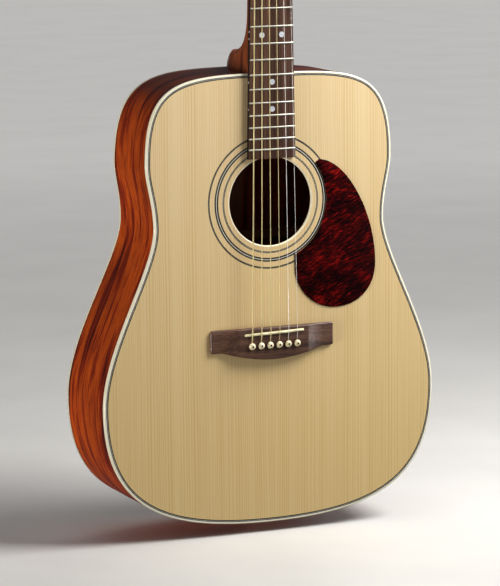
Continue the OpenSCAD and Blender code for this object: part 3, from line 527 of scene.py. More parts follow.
def wound_wire(name, colour, shade, pitch_mm):
    """Bronze winding: ridges across the string."""
    f = Finish(name, roughness=0.35, metallic=0.5)
    bands = f.add("ShaderNodeTexWave", {"Vector": f.place((1, 1, 1)), "Scale": 1 / (pitch_mm * MM) / 3.2,
                                        "Distortion": 0.0}, output=1, wave_type="BANDS", bands_direction="Z")
    dull = f.noise(f.place((80, 80, 14)), 1.0, detail=3)
    colour_here = f.mix(f.value_ramp(dull, [(0.35, 0.0), (0.7, 0.8)]), colour, shade)
    # painted shade: the grooves between the turns are mixed towards dark brown
    f.put("Base Color", f.mix(f.value_ramp(bands, [(0.0, 0.2), (0.5, 0.0)]), colour_here, srgb(90, 68, 36)))
    f.bump(bands, 0.3, 0.08)
    return f.material


def pearl():
    f = Finish("pearl", roughness=0.2, coat=0.4)
    swirl = f.noise(f.place((260, 260, 260)), 1.0, detail=3, distortion=2.5)
    f.put("Base Color", f.ramp(swirl, [(0.3, srgb(168, 178, 190)), (0.5, srgb(214, 218, 220)),
                                       (0.7, srgb(188, 190, 198))]))
    f.bump(swirl, 0.03, 0.02)
    return f.material


SPRUCE = spruce()
# the sides get painted shade where they face up, at the shoulders
SIDE_WOOD = mahogany("mahogany_side", (8, 60, 8), (48, 1100, 48), srgb(64, 11, 2), srgb(144, 41, 4),
                     srgb(206, 86, 14), painted_shade_up=0.22)
BACK_WOOD = mahogany("mahogany_back", (85, 20, 3.5), (900, 200, 14), srgb(66, 22, 9), srgb(118, 46, 18),
                     srgb(150, 68, 28), coat=0.35, coat_roughness=0.3, mirror=True)
NECK_WOOD = mahogany("mahogany_neck", (60, 60, 4), (900, 900, 16), srgb(80, 36, 18), srgb(128, 64, 34),
                     srgb(150, 80, 44), roughness=0.42, coat=0.3, coat_roughness=0.3)
BOARD_WOOD = rosewood("rosewood_board", srgb(38, 25, 21), srgb(80, 56, 45), srgb(102, 73, 58),
                      scale=(420, 300, 6), painted_side_shade=True)
BRIDGE_WOOD = rosewood("rosewood_bridge", srgb(50, 30, 22), srgb(88, 59, 46), srgb(112, 79, 62),
                       scale=(9, 300, 300), specular=0.4, coat=0.2)
VENEER_WOOD = rosewood("rosewood_veneer", srgb(26, 15, 12), srgb(58, 34, 26), srgb(78, 46, 34),
                       roughness=0.25, coat=1.0)
BRACE_WOOD = bare_wood("brace_spruce", srgb(226, 196, 146), srgb(190, 148, 94))
# the soundhole's rounded lip: bare spruce edge, whitened near white as a painted highlight
HOLE_EDGE_HIGHLIGHT = bare_wood("soundhole_edge_painted_highlight", srgb(255, 246, 220), srgb(238, 216, 172), roughness=0.35)
BLOCK_WOOD = bare_wood("inner_wood", srgb(128, 76, 44), srgb(88, 48, 26))
LINING_WOOD = bare_wood("lining_wood", srgb(206, 160, 108), srgb(160, 112, 66), scale=(12, 300, 12))
GUARD = tortoise()
CREAM = moulded("cream_binding", srgb(252, 247, 224), srgb(246, 238, 208), roughness=0.22, coat=0.8)
BLACK_LINE = moulded("black_purfling", srgb(22, 22, 18), srgb(36, 35, 29), roughness=0.3, coat=0.15)
WHITE_LINE = moulded("white_purfling", srgb(226, 224, 214), srgb(206, 202, 190), roughness=0.3)
BONE = moulded("bone", srgb(246, 238, 196), srgb(230, 216, 158), roughness=0.3, coat=0.3)
PIN_PLASTIC = moulded("pin_plastic", srgb(240, 228, 192), srgb(222, 204, 158), roughness=0.22, coat=0.7)
# black for the pins' real dots, and for painted shade in the post holes and screw slots
BLACK_DOT_AND_HOLE_SHADE = moulded("pin_dot", srgb(18, 17, 17), srgb(34, 32, 32), roughness=0.2)
PEARL = pearl()
NICKEL = metal("nickel_silver", srgb(206, 204, 192), srgb(182, 178, 166), roughness=0.25, metallic=0.5)
BRONZE = wound_wire("bronze_winding", srgb(222, 210, 156), srgb(190, 172, 120), 0.32)
PLAIN = metal("plain_steel", srgb(250, 250, 250), srgb(236, 236, 236), roughness=0.25, brush=(900, 900, 60),
              metallic=0.2)
CHROME = metal("chrome", srgb(222, 224, 226), srgb(196, 200, 204), roughness=0.14, wear=0.08, metallic=0.6)
STEEL = metal("nickel_plate", srgb(200, 200, 202), srgb(166, 166, 168), roughness=0.24, metallic=0.6)
DARK_STEEL = metal("rod_steel", srgb(112, 112, 116), srgb(78, 76, 76), roughness=0.4)
BRASS = metal("brass", srgb(196, 160, 92), srgb(150, 114, 58), roughness=0.28)


def dress(node, material):
    """Gives a kept CAD node its finish."""
    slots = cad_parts[node].data.materials
    slots.clear()
    slots.append(material)


for name, finish in {
        "neck_block": BLOCK_WOOD, "tail_block": BLOCK_WOOD, "linings": LINING_WOOD,
        "x_brace_left": BRACE_WOOD, "x_brace_right": BRACE_WOOD, "top_bars": BRACE_WOOD,
        "back_braces": BLOCK_WOOD, "back_strip": BLOCK_WOOD, "bridge_plate": BLOCK_WOOD,
        "fretboard": BOARD_WOOD, "frets": NICKEL, "inlay_dots": PEARL, "truss_rod": DARK_STEEL,
        "truss_rod_nut": BRASS, "heel_cap": VENEER_WOOD, "nut": BONE, "saddle": BONE,
        "bridge_pins": PIN_PLASTIC, "pickguard": GUARD, "bridge": BRIDGE_WOOD,
        "strap_button": PIN_PLASTIC, "neck": NECK_WOOD, "headstock_veneer": VENEER_WOOD,
        "tuner_housings": CHROME, "tuner_bushings": CHROME, "tuner_screws": STEEL}.items():
    dress(name, finish)
for number in range(1, 7):
    dress(f"tuner_post_{number}", STEEL)
    dress(f"tuner_worm_{number}", STEEL)
    dress(f"tuner_button_{number}", CHROME)
    dress(f"string_{number}", BRONZE if number > 2 else PLAIN)

# ---------------------------------------------------------------- the body's shell
PLATE_INSET = SIDE_T + PURF_W
LIP = 1.3
ROSETTE = [(56.9, 58.9), (64.3, 66.1), (66.1, 66.9), (66.9, 68.7), (74.7, 76.7)]
# The rosette's channels, the black edges of its two fine rings, and where the back's faces fan out from.
CHANNEL_DEPTH = 1.2
FINE_EDGES = {0: 0.86, 4: 0.94}
BACK_FAN_Z = 262


def plate_loop(inset, y):
    return [at(x, y, z) for x, z in outline(inset)]


def make_soundboard():
    """The top, with a rounded soundhole edge and bare channels for the rosette."""
    radii = [r for ring in ROSETTE for r in ring]
    parts = [fill_between([plate_loop(PLATE_INSET, 0), circle(radii[-1], 0)]),
             fill_between([plate_loop(PLATE_INSET, PLATE_T), circle(HOLE_R + LIP, PLATE_T)]),
             strip([plate_loop(PLATE_INSET, 0), plate_loop(PLATE_INSET, PLATE_T)])]
    lands = [HOLE_R + LIP] + radii[:-1]
    for inner, outer in zip(lands[::2], lands[1::2]):
        if outer > inner:
            parts.append(strip([circle(inner, 0), circle(outer, 0)]))
    for inner, outer in (ROSETTE[0], (ROSETTE[1][0], ROSETTE[3][1]), ROSETTE[4]):
        parts.append(strip([circle(inner, 0), circle(inner, CHANNEL_DEPTH),
                            circle(outer, CHANNEL_DEPTH), circle(outer, 0)]))
    parts.append(strip([circle(HOLE_R + LIP, 0), circle(HOLE_R + LIP, PLATE_T)]))
    top = new_object("soundboard_shell", *join(parts), "root", SPRUCE, "soundboard_spruce")
    merge_points(top)
    sharpen(top, 30)
    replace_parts(top, "soundboard")
    # the rounded lip gets the near-white wood: a painted highlight
    edge = [circle(HOLE_R + LIP * (1 - math.sin(a)), LIP * (1 - math.cos(a))) for a in
            [math.pi / 2 * i / 6 for i in range(7)]]
    loops = edge + [circle(HOLE_R, PLATE_T), circle(HOLE_R + LIP, PLATE_T)]
    rim = new_object("soundhole_edge", *strip(loops + [loops[0]]), "root", HOLE_EDGE_HIGHLIGHT, "soundboard_spruce")
    merge_points(rim)
    sharpen(rim, 40)
    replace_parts(rim, "soundboard")


def strip(loops):
    n = len(loops[0])
    return [p for loop in loops for p in loop], ring_faces(len(loops), n)


def merge_points(piece, gap_mm=0.002):
    bm = bmesh.new()
    bm.from_mesh(piece.data)
    bmesh.ops.remove_doubles(bm, verts=bm.verts, dist=gap_mm * MM)
    bmesh.ops.recalc_face_normals(bm, faces=bm.faces)
    bm.to_mesh(piece.data)
    bm.free()


def make_rosette():
    """Inlaid rings: fine black-white-black lines inside and outside a bolder three-line group."""
    lines = []
    for i, (inner, outer) in enumerate(ROSETTE):
        if i in FINE_EDGES:
            edge = FINE_EDGES[i]
            lines += [(inner, inner + edge, BLACK_LINE), (inner + edge, outer - edge, WHITE_LINE),
                      (outer - edge, outer, BLACK_LINE)]
        else:
            lines.append((inner, outer, WHITE_LINE if i == 2 else BLACK_LINE))
    for i, (inner, outer, material) in enumerate(lines):
        loops = [circle(inner, CHANNEL_DEPTH), circle(inner, 0.0),
                 circle(outer, 0.0), circle(outer, CHANNEL_DEPTH)]
        verts, faces = strip(loops + [loops[0]])
        ring = new_object(f"rosette_ring_{i + 1}", verts, faces, "root", material, "dark_purfling")
        merge_points(ring)
        sharpen(ring, 30)
        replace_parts(ring, "rosette_rings")


def make_back():
    """The arched back plate."""
    rows, steps = 14, len(outline(0))
    outer_loop = outline(SIDE_T)

    def surface(lift):
        loops = []
        for i in range(1, rows + 1):
            t = (i / rows) ** 0.8
            loops.append([(x * t, BACK_FAN_Z + (z - BACK_FAN_Z) * t) for x, z in outer_loop])
        verts = [at(0, back_y(0, BACK_FAN_Z, lift), BACK_FAN_Z)]
        verts += [at(x, back_y(x, z, lift), z) for loop in loops for x, z in loop]
        faces = [(0, 1 + j, 1 + (j + 1) % steps) for j in range(steps)]
        faces += [tuple(1 + i for i in face) for face in ring_faces(rows, steps)]
        return verts, faces

    outside, inside = surface(0), surface(PLATE_T)
    n = len(outside[0])
    rim = [(n - steps + j, n - steps + (j + 1) % steps, 2 * n - steps + (j + 1) % steps, 2 * n - steps + j)
           for j in range(steps)]
    verts, faces = join([outside, inside])
    back = new_object("back_shell", verts, faces + rim, "root", BACK_WOOD, "body_mahogany")
    sharpen(back, 35)
    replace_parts(back, "back_plate")


def make_rim():
    """Sides, bindings and purfling, swept round the body's outline."""
    half = len(outline(0)) // 2
    wall = [(0, from_top(TOP_BIND_H)), (0, from_back(BIND_H)), (SIDE_T, from_back(BIND_H)),
            (SIDE_T, from_top(TOP_BIND_H))]
    for side, stations in (("treble", (0, half)), ("bass", (half, 2 * half))):
        piece = rim_sweep(f"side_{side}_shell", wall, SIDE_WOOD, "body_mahogany", stations)
        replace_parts(piece, f"side_{side}")
    corner = 0.9
    bend = [(corner * (1 - math.sin(a)), corner * (1 - math.cos(a))) for a in
            [math.pi / 2 * i / 4 for i in range(5)]]
    top_profile = [(inset, from_top(y)) for inset, y in bend] + [
        (0, from_top(TOP_BIND_H)), (SIDE_T, from_top(TOP_BIND_H)), (SIDE_T, from_top(0))]
    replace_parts(rim_sweep("binding_top_strip", top_profile, CREAM, "cream_binding"), "binding_top")
    line_h = 0.5
    back_profile = [(inset, from_back(y)) for inset, y in bend] + [
        (0, from_back(BIND_H - line_h)), (SIDE_T, from_back(BIND_H - line_h)), (SIDE_T, from_back(0))]
    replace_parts(rim_sweep("binding_back_strip", back_profile, CREAM, "cream_binding"), "binding_back")
    line = [(0, from_back(BIND_H - line_h)), (0, from_back(BIND_H)), (SIDE_T, from_back(BIND_H)),
            (SIDE_T, from_back(BIND_H - line_h))]
    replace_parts(rim_sweep("binding_back_line", line, BLACK_LINE, "dark_purfling"), "binding_back")
    thirds = [SIDE_T, SIDE_T + 0.9, SIDE_T + 1.25, SIDE_T + PURF_W]
    for i, material in enumerate((BLACK_LINE, WHITE_LINE, BLACK_LINE)):
        a, b = thirds[i], thirds[i + 1]
        profile = [(a, from_top(0)), (a, from_top(PLATE_T)), (b, from_top(PLATE_T)), (b, from_top(0))]
        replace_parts(rim_sweep(f"purfling_line_{i + 1}", profile, material, "dark_purfling"), "purfling_top")


make_soundboard()
make_rosette()
make_back()
make_rim()

# ---------------------------------------------------------------- bridge, saddle and pins
BRIDGE_TOP, BRIDGE_H, BRIDGE_HALF, WING_LEN, BELLY, BELLY_HALF = NUT_Z - 643, 9, 76, 26.3, 10.3, 62
BRIDGE_ROUND = 3
SADDLE_Z, SADDLE_SLANT, SADDLE_HALF, SADDLE_TOP = BRIDGE_TOP - 5.9, math.radians(1.6), 37, 11.6
PIN_Z = SADDLE_Z - 13.8
SADDLE_SPREAD, NUT_SPREAD, CAMBER_R = 55.8, 36, 406
STRING_D = [1.35, 1.07, 0.81, 0.61, 0.41, 0.3]
SCOOP_R, SCOOP_X, WING_H = 85, 72, 3.6


def spread(total, k):
    return -total / 2 + total * k / 5


def camber(x):
    return CAMBER_R - math.sqrt(CAMBER_R ** 2 - x * x)


def bridge_low(x):
    """The bridge's lower edge: straight wings that swell into the belly."""
    reach = min(abs(x) / BELLY_HALF, 1)
    return BRIDGE_TOP - WING_LEN - BELLY * math.cos(math.pi / 2 * reach)


def bridge_height(x):
    away = abs(x) - SCOOP_X
    if away > 0:
        return WING_H
    fall = SCOOP_R - math.sqrt(SCOOP_R ** 2 - min(away * away, 900))
    top = WING_H + fall
    soft = 1.2
    if abs(top - BRIDGE_H) > soft:
        return min(top, BRIDGE_H)
    return BRIDGE_H - (BRIDGE_H - top + soft) ** 2 / 4 / soft


def rounding(distance, radius):
    """How far a quarter round of a radius cuts back at a distance from its end."""
    left = max(0.0, radius - distance)
    return radius - math.sqrt(max(0.0, radius * radius - left * left))


def make_bridge():
    """Rosewood bridge with scooped wings and softened edges."""
    rings = []
    stations = [-BRIDGE_HALF + 0.5 * i for i in range(int(4 * BRIDGE_HALF) + 1)]
    for x in stations:
        shrink = rounding(BRIDGE_HALF - abs(x), 1.4)
        corner_cut = rounding(BRIDGE_HALF - abs(x), BRIDGE_ROUND)
        high, low, h = BRIDGE_TOP - corner_cut, bridge_low(x) + corner_cut, bridge_height(x) - shrink
        r = 1.3
        corner = [math.pi / 2 * i / 4 for i in range(5)]
        ring = [(high, 0.0)] + [(high - r + r * math.cos(a), h - r + r * math.sin(a)) for a in corner]
        ring += [(low + r - r * math.sin(a), h - r + r * math.cos(a)) for a in corner] + [(low, 0.0)]
        rings.append([at(x, -y, z) for z, y in ring])
    bridge = new_object("bridge_body", *loft(rings), "root", BRIDGE_WOOD, "bridge_rosewood")
    sharpen(bridge, 50)
    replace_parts(bridge, "bridge")


def make_saddle():
    """Bone saddle with a rounded, compensated crest."""
    rings = []
    steps = 74
    for i in range(steps + 1):
        x = -SADDLE_HALF + 2 * SADDLE_HALF * i / steps
        near_end = min(SADDLE_HALF - abs(x), 2.5) / 2.5
        top = SADDLE_TOP - camber(x) - 0.02 - 1.6 * (1 - math.sqrt(max(0.0, 1 - (1 - near_end) ** 2)))
        crest = 0.45 * math.sin(x / SADDLE_SPREAD * 5 * math.pi + 0.6)
        z = SADDLE_Z + math.tan(SADDLE_SLANT) * x
        half = 1.48
        arc = [math.pi * j / 10 for j in range(11)]
        dome = [(half * math.cos(a) + crest * math.sin(a) ** 2, top - half + half * math.sin(a))
                for a in arc]
        ring = [(half, 4.0)] + dome + [(-half, 4.0)]
        rings.append([at(x, -y, z + dz) for dz, y in ring])
    saddle = new_object("saddle_bone", *loft(rings), "root", BONE, "bone")
    sharpen(saddle, 50)
    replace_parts(saddle, "saddle")


def pin_place(k):
    x = spread(SADDLE_SPREAD, k)
    return lambda a, b, h: at(x + a, -BRIDGE_H - h, PIN_Z + b)


def make_pins():
    """Six bridge pins: tapered shank, collared head and a dark dot."""
    head = [(0, -20), (2.1, -20), (2.62, 0.5), (3.4, 0.55), (3.85, 0.8), (3.98, 1.3), (3.9, 1.8), (3.6, 2.3),
            (3.2, 2.75), (2.8, 3.15), (2.3, 3.5), (1.6, 3.78), (1.15, 3.86), (1.15, 3.7), (0, 3.7)]
    dot = [(0, 3.5), (1.13, 3.5), (1.12, 3.9), (0.9, 4.05), (0.5, 4.12), (0, 4.15)]
    pins = new_object("bridge_pin_set", *join([lathe(head, pin_place(k)) for k in range(6)]), "root",
                      PIN_PLASTIC, "cream_plastic")
    sharpen(pins, 50)
    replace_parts(pins, "bridge_pins")
    dots = new_object("bridge_pin_dots", *join([lathe(dot, pin_place(k), 24) for k in range(6)]), "root",
                      BLACK_DOT_AND_HOLE_SHADE, "cream_plastic")
    sharpen(dots, 60)
    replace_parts(dots, "bridge_pins")


GUARD_GAP_R, GUARD_T = 68.9, 1.0
GUARD_CURVES = [((60, 44.7), (92, 44.7), (130.5, -17), (130.5, -77)),
                ((130.5, -77), (130.5, -107), (110, -126), (80, -126)),
                ((80, -126), (50, -126), (29.6, -100), (29.6, -78))]


def guard_outline():
    """The pickguard's edge, from where it leaves the rosette's arc round and back to it."""
    points = []
    for curve in GUARD_CURVES:
        points += [bezier(*curve, i / 40) for i in range(40)]
    points.append((29.6, -78))
    start = next(i for i, p in enumerate(points) if math.hypot(*p) > GUARD_GAP_R)
    points = points[start:]
    # the straight left edge runs up to the arc
    rise = [(29.6 - 0.03 * j, -78 + j) for j in range(1, 60)]
    points += [p for p in rise if math.hypot(*p) > GUARD_GAP_R]
    first, last = math.atan2(points[0][1], points[0][0]), math.atan2(points[-1][1], points[-1][0])
    arc = [last + (first - last) * i / 60 for i in range(61)]
    points += [(GUARD_GAP_R * math.cos(a), GUARD_GAP_R * math.sin(a)) for a in arc]
    kept = [points[0]]
    for p in points[1:]:
        if math.dist(p, kept[-1]) > 0.3:
            kept.append(p)
    if math.dist(kept[0], kept[-1]) < 0.3:
        kept.pop()
    return kept


def inset_loop(points, inset):
    """A closed loop moved inwards along its corners' normals; works for gently curved loops."""
    n = len(points)
    area = sum(points[i][0] * points[(i + 1) % n][1] - points[(i + 1) % n][0] * points[i][1]
               for i in range(n))
    turn = 1 if area > 0 else -1
    moved = []
    for i in range(n):
        a, b, c = points[i - 1], points[i], points[(i + 1) % n]
        ux, uz = b[0] - a[0], b[1] - a[1]
        vx, vz = c[0] - b[0], c[1] - b[1]
        lu, lv = math.hypot(ux, uz), math.hypot(vx, vz)
        nx, nz = -(uz / lu + vz / lv) * turn, (ux / lu + vx / lv) * turn
        size = math.hypot(nx, nz) or 1
        stretch = min(1.6, 2 / size)
        moved.append((b[0] + nx / size * inset * stretch, b[1] + nz / size * inset * stretch))
    return moved


def rounded_plate(points, low, high, edge, place, steps=4):
    """A flat plate with a rounded upper edge: points are its outline, low and high its two faces."""
    side = 1 if high > low else -1
    loops = [[place(a, low, b) for a, b in points]]
    for i in range(steps + 1):
        t = math.pi / 2 * i / steps
        ring = inset_loop(points, edge * (1 - math.cos(t))) if i else points
        loops.append([place(a, high - side * edge * (1 - math.sin(t)), b) for a, b in ring])
    parts = [strip(loops), fill_between([loops[-1]]), fill_between([loops[0]])]
    return join(parts)


def make_pickguard():
    verts, faces = rounded_plate(guard_outline(), 0, -GUARD_T, 0.45, lambda a, y, b: at(a, y, HOLE_Z + b))
    guard = new_object("pickguard_sheet", verts, faces, "root", GUARD, "tortoise")
    merge_points(guard)
    sharpen(guard, 40)
    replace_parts(guard, "pickguard")


# ---------------------------------------------------------------- neck, heel and headstock
BOARD_LEN = NUT_Z - BOARD_END_Z
SHAFT_T, HEEL_DEPTH, CAP_T, CAP_REACH, HEEL_REACH, HEEL_EXTRA = 15.5, 86, 2.5, 22, 74, 15
SECTION_STEPS = 40
HEAD_T, VENEER_T = 14, 1.6
POST_X, POST_FIRST, POST_STEP = 23, 38, 38


def board_half(z):
    return (42 + (57.5 - 42) * (NUT_Z - z) / BOARD_LEN) / 2


def shaft_depth(z):
    return SHAFT_T + 3.5 * (NUT_Z - z) / (NUT_Z - JOINT_Z)


def heel_y(u):
    if u < CAP_REACH:
        return HEEL_DEPTH + HEEL_EXTRA * (1 - (u / CAP_REACH) ** 2)
    if u > HEEL_REACH:
        return 0
    rise = HEEL_DEPTH - shaft_depth(JOINT_Z + HEEL_REACH)
    return HEEL_DEPTH - rise * math.sqrt(1 - ((HEEL_REACH - u) / (HEEL_REACH - CAP_REACH)) ** 2)


def neck_section(z, cut=HEEL_DEPTH):
    w, depth = board_half(z), max(shaft_depth(z), heel_y(z - JOINT_Z))
    ring = []
    for i in range(SECTION_STEPS + 1):
        a = math.pi * i / SECTION_STEPS
        ring.append(at(w * math.cos(a), min(cut, depth * math.sin(a) ** 0.9), z))
    return ring


def make_neck():
    """Shaft and heel as one smooth form, ending inside the body's wall."""
    top = HEEL_DEPTH - CAP_T
    heights = [1 + 0.6 * i for i in range(38)] + [24 + 1.25 * i for i in range(41)]
    heights += [HEEL_REACH + (NUT_Z + 1 - JOINT_Z - HEEL_REACH) * k / 60 for k in range(1, 61)]
    shaft = loft([neck_section(JOINT_Z + u, top) for u in heights])
    tenon = loft([[at(x, y, z) for x, y in ((10, PLATE_T), (-10, PLATE_T), (-10, 80.8), (10, 80.8))]
                  for z in (JOINT_Z - 18, JOINT_Z + 1.5)])
    neck = new_object("neck_shaft", *join([shaft, tenon]), "root", NECK_WOOD, "neck_wood")
    sharpen(neck, 32)
    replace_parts(neck, "neck")
    make_heel_cap(top)


def make_heel_cap(top):
    """The cap follows the heel's own outline, with a light line under it."""
    def half_width(u, y):
        w, depth = board_half(JOINT_Z + u), max(shaft_depth(JOINT_Z + u), heel_y(u))
        return w * math.sqrt(max(0.0, 1 - (y / depth) ** (2 / 0.9)))

    def outline_at(y):
        ends = [CAP_REACH * i / 30 for i in range(31)]
        right = [(half_width(u, y), JOINT_Z + max(u, 1.2)) for u in ends if half_width(u, y) > 0.4]
        return right + [(-x, z) for x, z in reversed(right)]

    line_t = 0.6
    for name, low, high, material, edge in (("heel_cap_line", top, top + line_t, CREAM, 0.05),
                                            ("heel_cap_plate", top + line_t, HEEL_DEPTH, VENEER_WOOD, 0.5)):
        verts, faces = rounded_plate(outline_at(top - 0.01), low, high, edge, lambda a, y, b: at(a, y, b))
        piece = new_object(name, verts, faces, "root", material, "dark_veneer")
        merge_points(piece)
        sharpen(piece, 35)
        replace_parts(piece, "heel_cap")


HEAD_CURVES = [((23, -1), (23, 9), (31, 13), (31.3, 26)),
               ((31.3, 26), (33.5, 74), (35.5, 122), (37.5, 168)),
               ((37.5, 168), (38, 175), (35, 176), (30, 176.5)),
               ((30, 176.5), (19, 177.5), (12, 182), (0, 182))]


def head_outline():
    half = []
    for curve in HEAD_CURVES:
        half += [bezier(*curve, i / 16) for i in range(16)]
    return half + [(0, 182)] + [(-x, z) for x, z in reversed(half)]


def side_of(k):
    return -1 if k < 3 else 1


def post_up(k):
    return POST_FIRST + POST_STEP * (k if k < 3 else 5 - k)


def post_loop(k, radius, y, steps=32):
    return [on_head(side_of(k) * POST_X + radius * math.cos(2 * math.pi * i / steps), y,
                    post_up(k) + radius * math.sin(2 * math.pi * i / steps)) for i in range(steps)]


def drilled_plate(points, low, high, edge, radius):
    """A headstock layer with its six post holes; the edge at high is rounded."""
    side = 1 if high > low else -1
    loops = [[on_head(a, low, b) for a, b in points]]
    for i in range(6):
        t = math.pi / 2 * i / 5
        ring = inset_loop(points, edge * (1 - math.cos(t))) if i else points
        loops.append([on_head(a, high - side * edge * (1 - math.sin(t)), b) for a, b in ring])
    holes = [[post_loop(k, radius, y) for y in (low, high)] for k in range(6)]
    parts = [strip(loops), fill_between([loops[-1]] + [h[1] for h in holes]),
             fill_between([loops[0]] + [h[0] for h in holes])]
    return join(parts + [strip(h) for h in holes])


def make_headstock():
    """Headstock, its dark face veneer and the thickening behind the nut."""
    sleeve_r = 4.95
    head = drilled_plate(head_outline(), 0, HEAD_T, 1.6, sleeve_r)
    rings = []
    angles = [math.pi * j / SECTION_STEPS for j in range(SECTION_STEPS + 1)]
    for i in range(49):
        u = i / 48
        w, depth = board_half(NUT_Z) + 2 * u + 0.02, SHAFT_T + 3 - 6 * u * u
        rings.append([on_head(w * math.cos(a), max(0.2, -0.5 + depth * math.sin(a) ** 0.9 * (1 - 0.12 * u)),
                              -9 + 34 * u) for a in angles])
    piece = new_object("headstock", *join([head, loft(rings)]), "root", NECK_WOOD, "neck_wood")
    merge_points(piece)
    sharpen(piece, 32)
    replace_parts(piece, "neck")
    face = [(a, max(b, 0.0)) for a, b in head_outline()]
    face = [p for i, p in enumerate(face) if i == 0 or math.dist(p, face[i - 1]) > 0.2]
    veneer = new_object("headstock_face", *drilled_plate(face, -0.01, -VENEER_T, 0.35, sleeve_r), "root",
                        VENEER_WOOD, "dark_veneer")
    merge_points(veneer)
    sharpen(veneer, 32)
    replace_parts(veneer, "headstock_veneer")


# ---------------------------------------------------------------- strings
BOARD_T, NUT_RISE, WIND_H, WIND_WAIST, POST_R = 6, 1.6, 9, 0.5, 3


def wind_r(k):
    return POST_R - WIND_WAIST + STRING_D[k] / 2


def rounded_path(points, radii, steps=6):
    """The path with each inner corner cut by a short curve that starts at the given distance from it."""
    path = [points[0]]
    for before, corner, after, reach in zip(points, points[1:], points[2:], radii):
        a = corner + (before - corner).normalized() * reach
        c = corner + (after - corner).normalized() * reach
        for i in range(steps + 1):
            t = i / steps
            path.append(a * (1 - t) ** 2 + corner * 2 * t * (1 - t) + c * t * t)
    path.append(points[-1])
    return path


def string_points(k):
    x_nut, x_saddle, d = spread(NUT_SPREAD, k), spread(SADDLE_SPREAD, k), STRING_D[k]
    saddle_z = SADDLE_Z + math.tan(SADDLE_SLANT) * x_saddle
    ball = at(x_saddle, PLATE_T + 5.2, PIN_Z + 2.9)
    mouth = at(x_saddle, -BRIDGE_H - 0.3, PIN_Z + 2.6)
    saddle = at(x_saddle, -SADDLE_TOP + camber(x_saddle) - d / 2, saddle_z)
    nut = at(x_nut, -BOARD_T - NUT_RISE + camber(x_nut), NUT_Z)
    nut_back = at(x_nut, -BOARD_T - NUT_RISE + camber(x_nut) + 0.5, NUT_Z + NUT_LEN)
    meet = on_head(side_of(k) * (POST_X - wind_r(k)), -VENEER_T - WIND_H, post_up(k))
    gap = 0.06
    clear = math.sqrt((wind_r(k) + d / 2 + gap) ** 2 - (wind_r(k) - d / 2) ** 2) * MM
    end = meet - (meet - nut_back).normalized() * clear
    return [ball, mouth, saddle, nut, nut_back, end]


def make_strings():
    """Six strings, wound below and plain above, each with its ball end under the bridge plate."""
    for k in range(6):
        number = 6 - k
        points = string_points(k)
        path = rounded_path(points, [1.2 * MM, 1.5 * MM, 1.0 * MM, 1.0 * MM])
        wire = tube(path, STRING_D[k] / 2 * MM, 14)
        ball = points[0]
        barrel = [(0, -1.7), (1.5, -1.7), (1.85, -1.4), (1.35, -0.5),
                  (1.35, 0.5), (1.85, 1.4), (1.5, 1.7), (0, 1.7)]
        end = lathe(barrel, lambda a, b, h, c=ball: c + Vector((h, a, b)) * MM, 24)
        string = new_object(f"string_wire_{number}", *join([wire, end]), "root",
                            BRONZE if k < 4 else PLAIN, "bronze_string" if k < 4 else "plain_string")
        sharpen(string, 50)
        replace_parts(string, f"string_{number}")


# ---------------------------------------------------------------- tuning machines
GEAR_Y, GEAR_T, GEAR_TEETH, PITCH_R = HEAD_T + 5.2, 3.2, 14, 5.25
WORM_Z, CASE_BACK, BUTTON_X, BUTTON_LEN = PITCH_R + 2.75, HEAD_T + 10.6, 21, 16
TURNS = [2, 3, 3, 4, 4, 5]


def tuner_place(k):
    """Places a point of the machine on string k; x is outwards, y back and z up from the post."""
    return lambda x, y, z: on_head(side_of(k) * (POST_X + x), y, post_up(k) + z)


def gear_solid(place):
    root_r, tip_r, points = PITCH_R - 0.78, PITCH_R + 0.6, []
    for i in range(GEAR_TEETH):
        mid = 2 * math.pi * i / GEAR_TEETH + math.pi / 2
        for r, half in ((root_r, 0.56), (tip_r, 0.24), (tip_r, -0.24), (root_r, -0.56)):
            a = mid - half / r
            points.append((r * math.cos(a), r * math.sin(a)))
    return loft([[place(a, y, b) for a, b in points] for y in (GEAR_Y - GEAR_T / 2, GEAR_Y + GEAR_T / 2)])


def make_post(k):
    """String post with its waist, gear and the string wound on it."""
    number, place = 6 - k, tuner_place(k)
    top = VENEER_T + 19
    waist_low, waist_high = VENEER_T + WIND_H - 3, VENEER_T + WIND_H + 3.6
    profile = [(0, 1.4 - CASE_BACK), (2, 1.4 - CASE_BACK), (2, -GEAR_Y), (3, -GEAR_Y), (3, waist_low - 1)]
    profile += [(POST_R - WIND_WAIST * math.sin(math.pi / 2 * i / 5), waist_low - 1 + i / 5)
                for i in range(1, 6)]
    profile += [(POST_R - WIND_WAIST * math.cos(math.pi / 2 * i / 5), waist_high + i / 5) for i in range(6)]
    profile += [(POST_R, top - 0.9), (POST_R - 0.1, top - 0.5), (POST_R - 0.4, top - 0.15),
                (POST_R - 0.9, top), (0, top)]
    shaft = lathe(profile, lambda a, b, h: place(a, -h, b), 40)
    post = new_object(f"string_post_{number}", *join([shaft, gear_solid(place)]), f"post_{number}", STEEL,
                      "tuner_steel")
    sharpen(post, 40)
    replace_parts(post, f"tuner_post_{number}")
    # painted shade: a black rod through the post stands for the dark inside of the string hole
    hole = lathe([(0, -3.04), (0.8, -3.04), (0.8, 3.04), (0, 3.04)],
                 lambda a, b, h: place(h, -VENEER_T - WIND_H - 5.6 + a, b), 16)
    hole_shade_rod = new_object(f"post_hole_shade_{number}", *hole, f"post_{number}", BLACK_DOT_AND_HOLE_SHADE, "tuner_steel")
    sharpen(hole_shade_rod, 40)
    d, steps, path = STRING_D[k], 40, []
    start = math.pi
    for i in range(TURNS[k] * steps + 1):
        a = start + 2 * math.pi * i / steps
        height = (d + 0.02) * i / steps
        path.append(place(wind_r(k) * math.cos(a), -VENEER_T - WIND_H + height, wind_r(k) * math.sin(a)))
    wound = new_object(f"string_winding_{number}", *tube(path, d / 2 * MM, 12), f"post_{number}",
                       BRONZE if k < 4 else PLAIN, "bronze_string" if k < 4 else "plain_string")
    sharpen(wound, 60)
    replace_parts(wound, f"tuner_post_{number}")


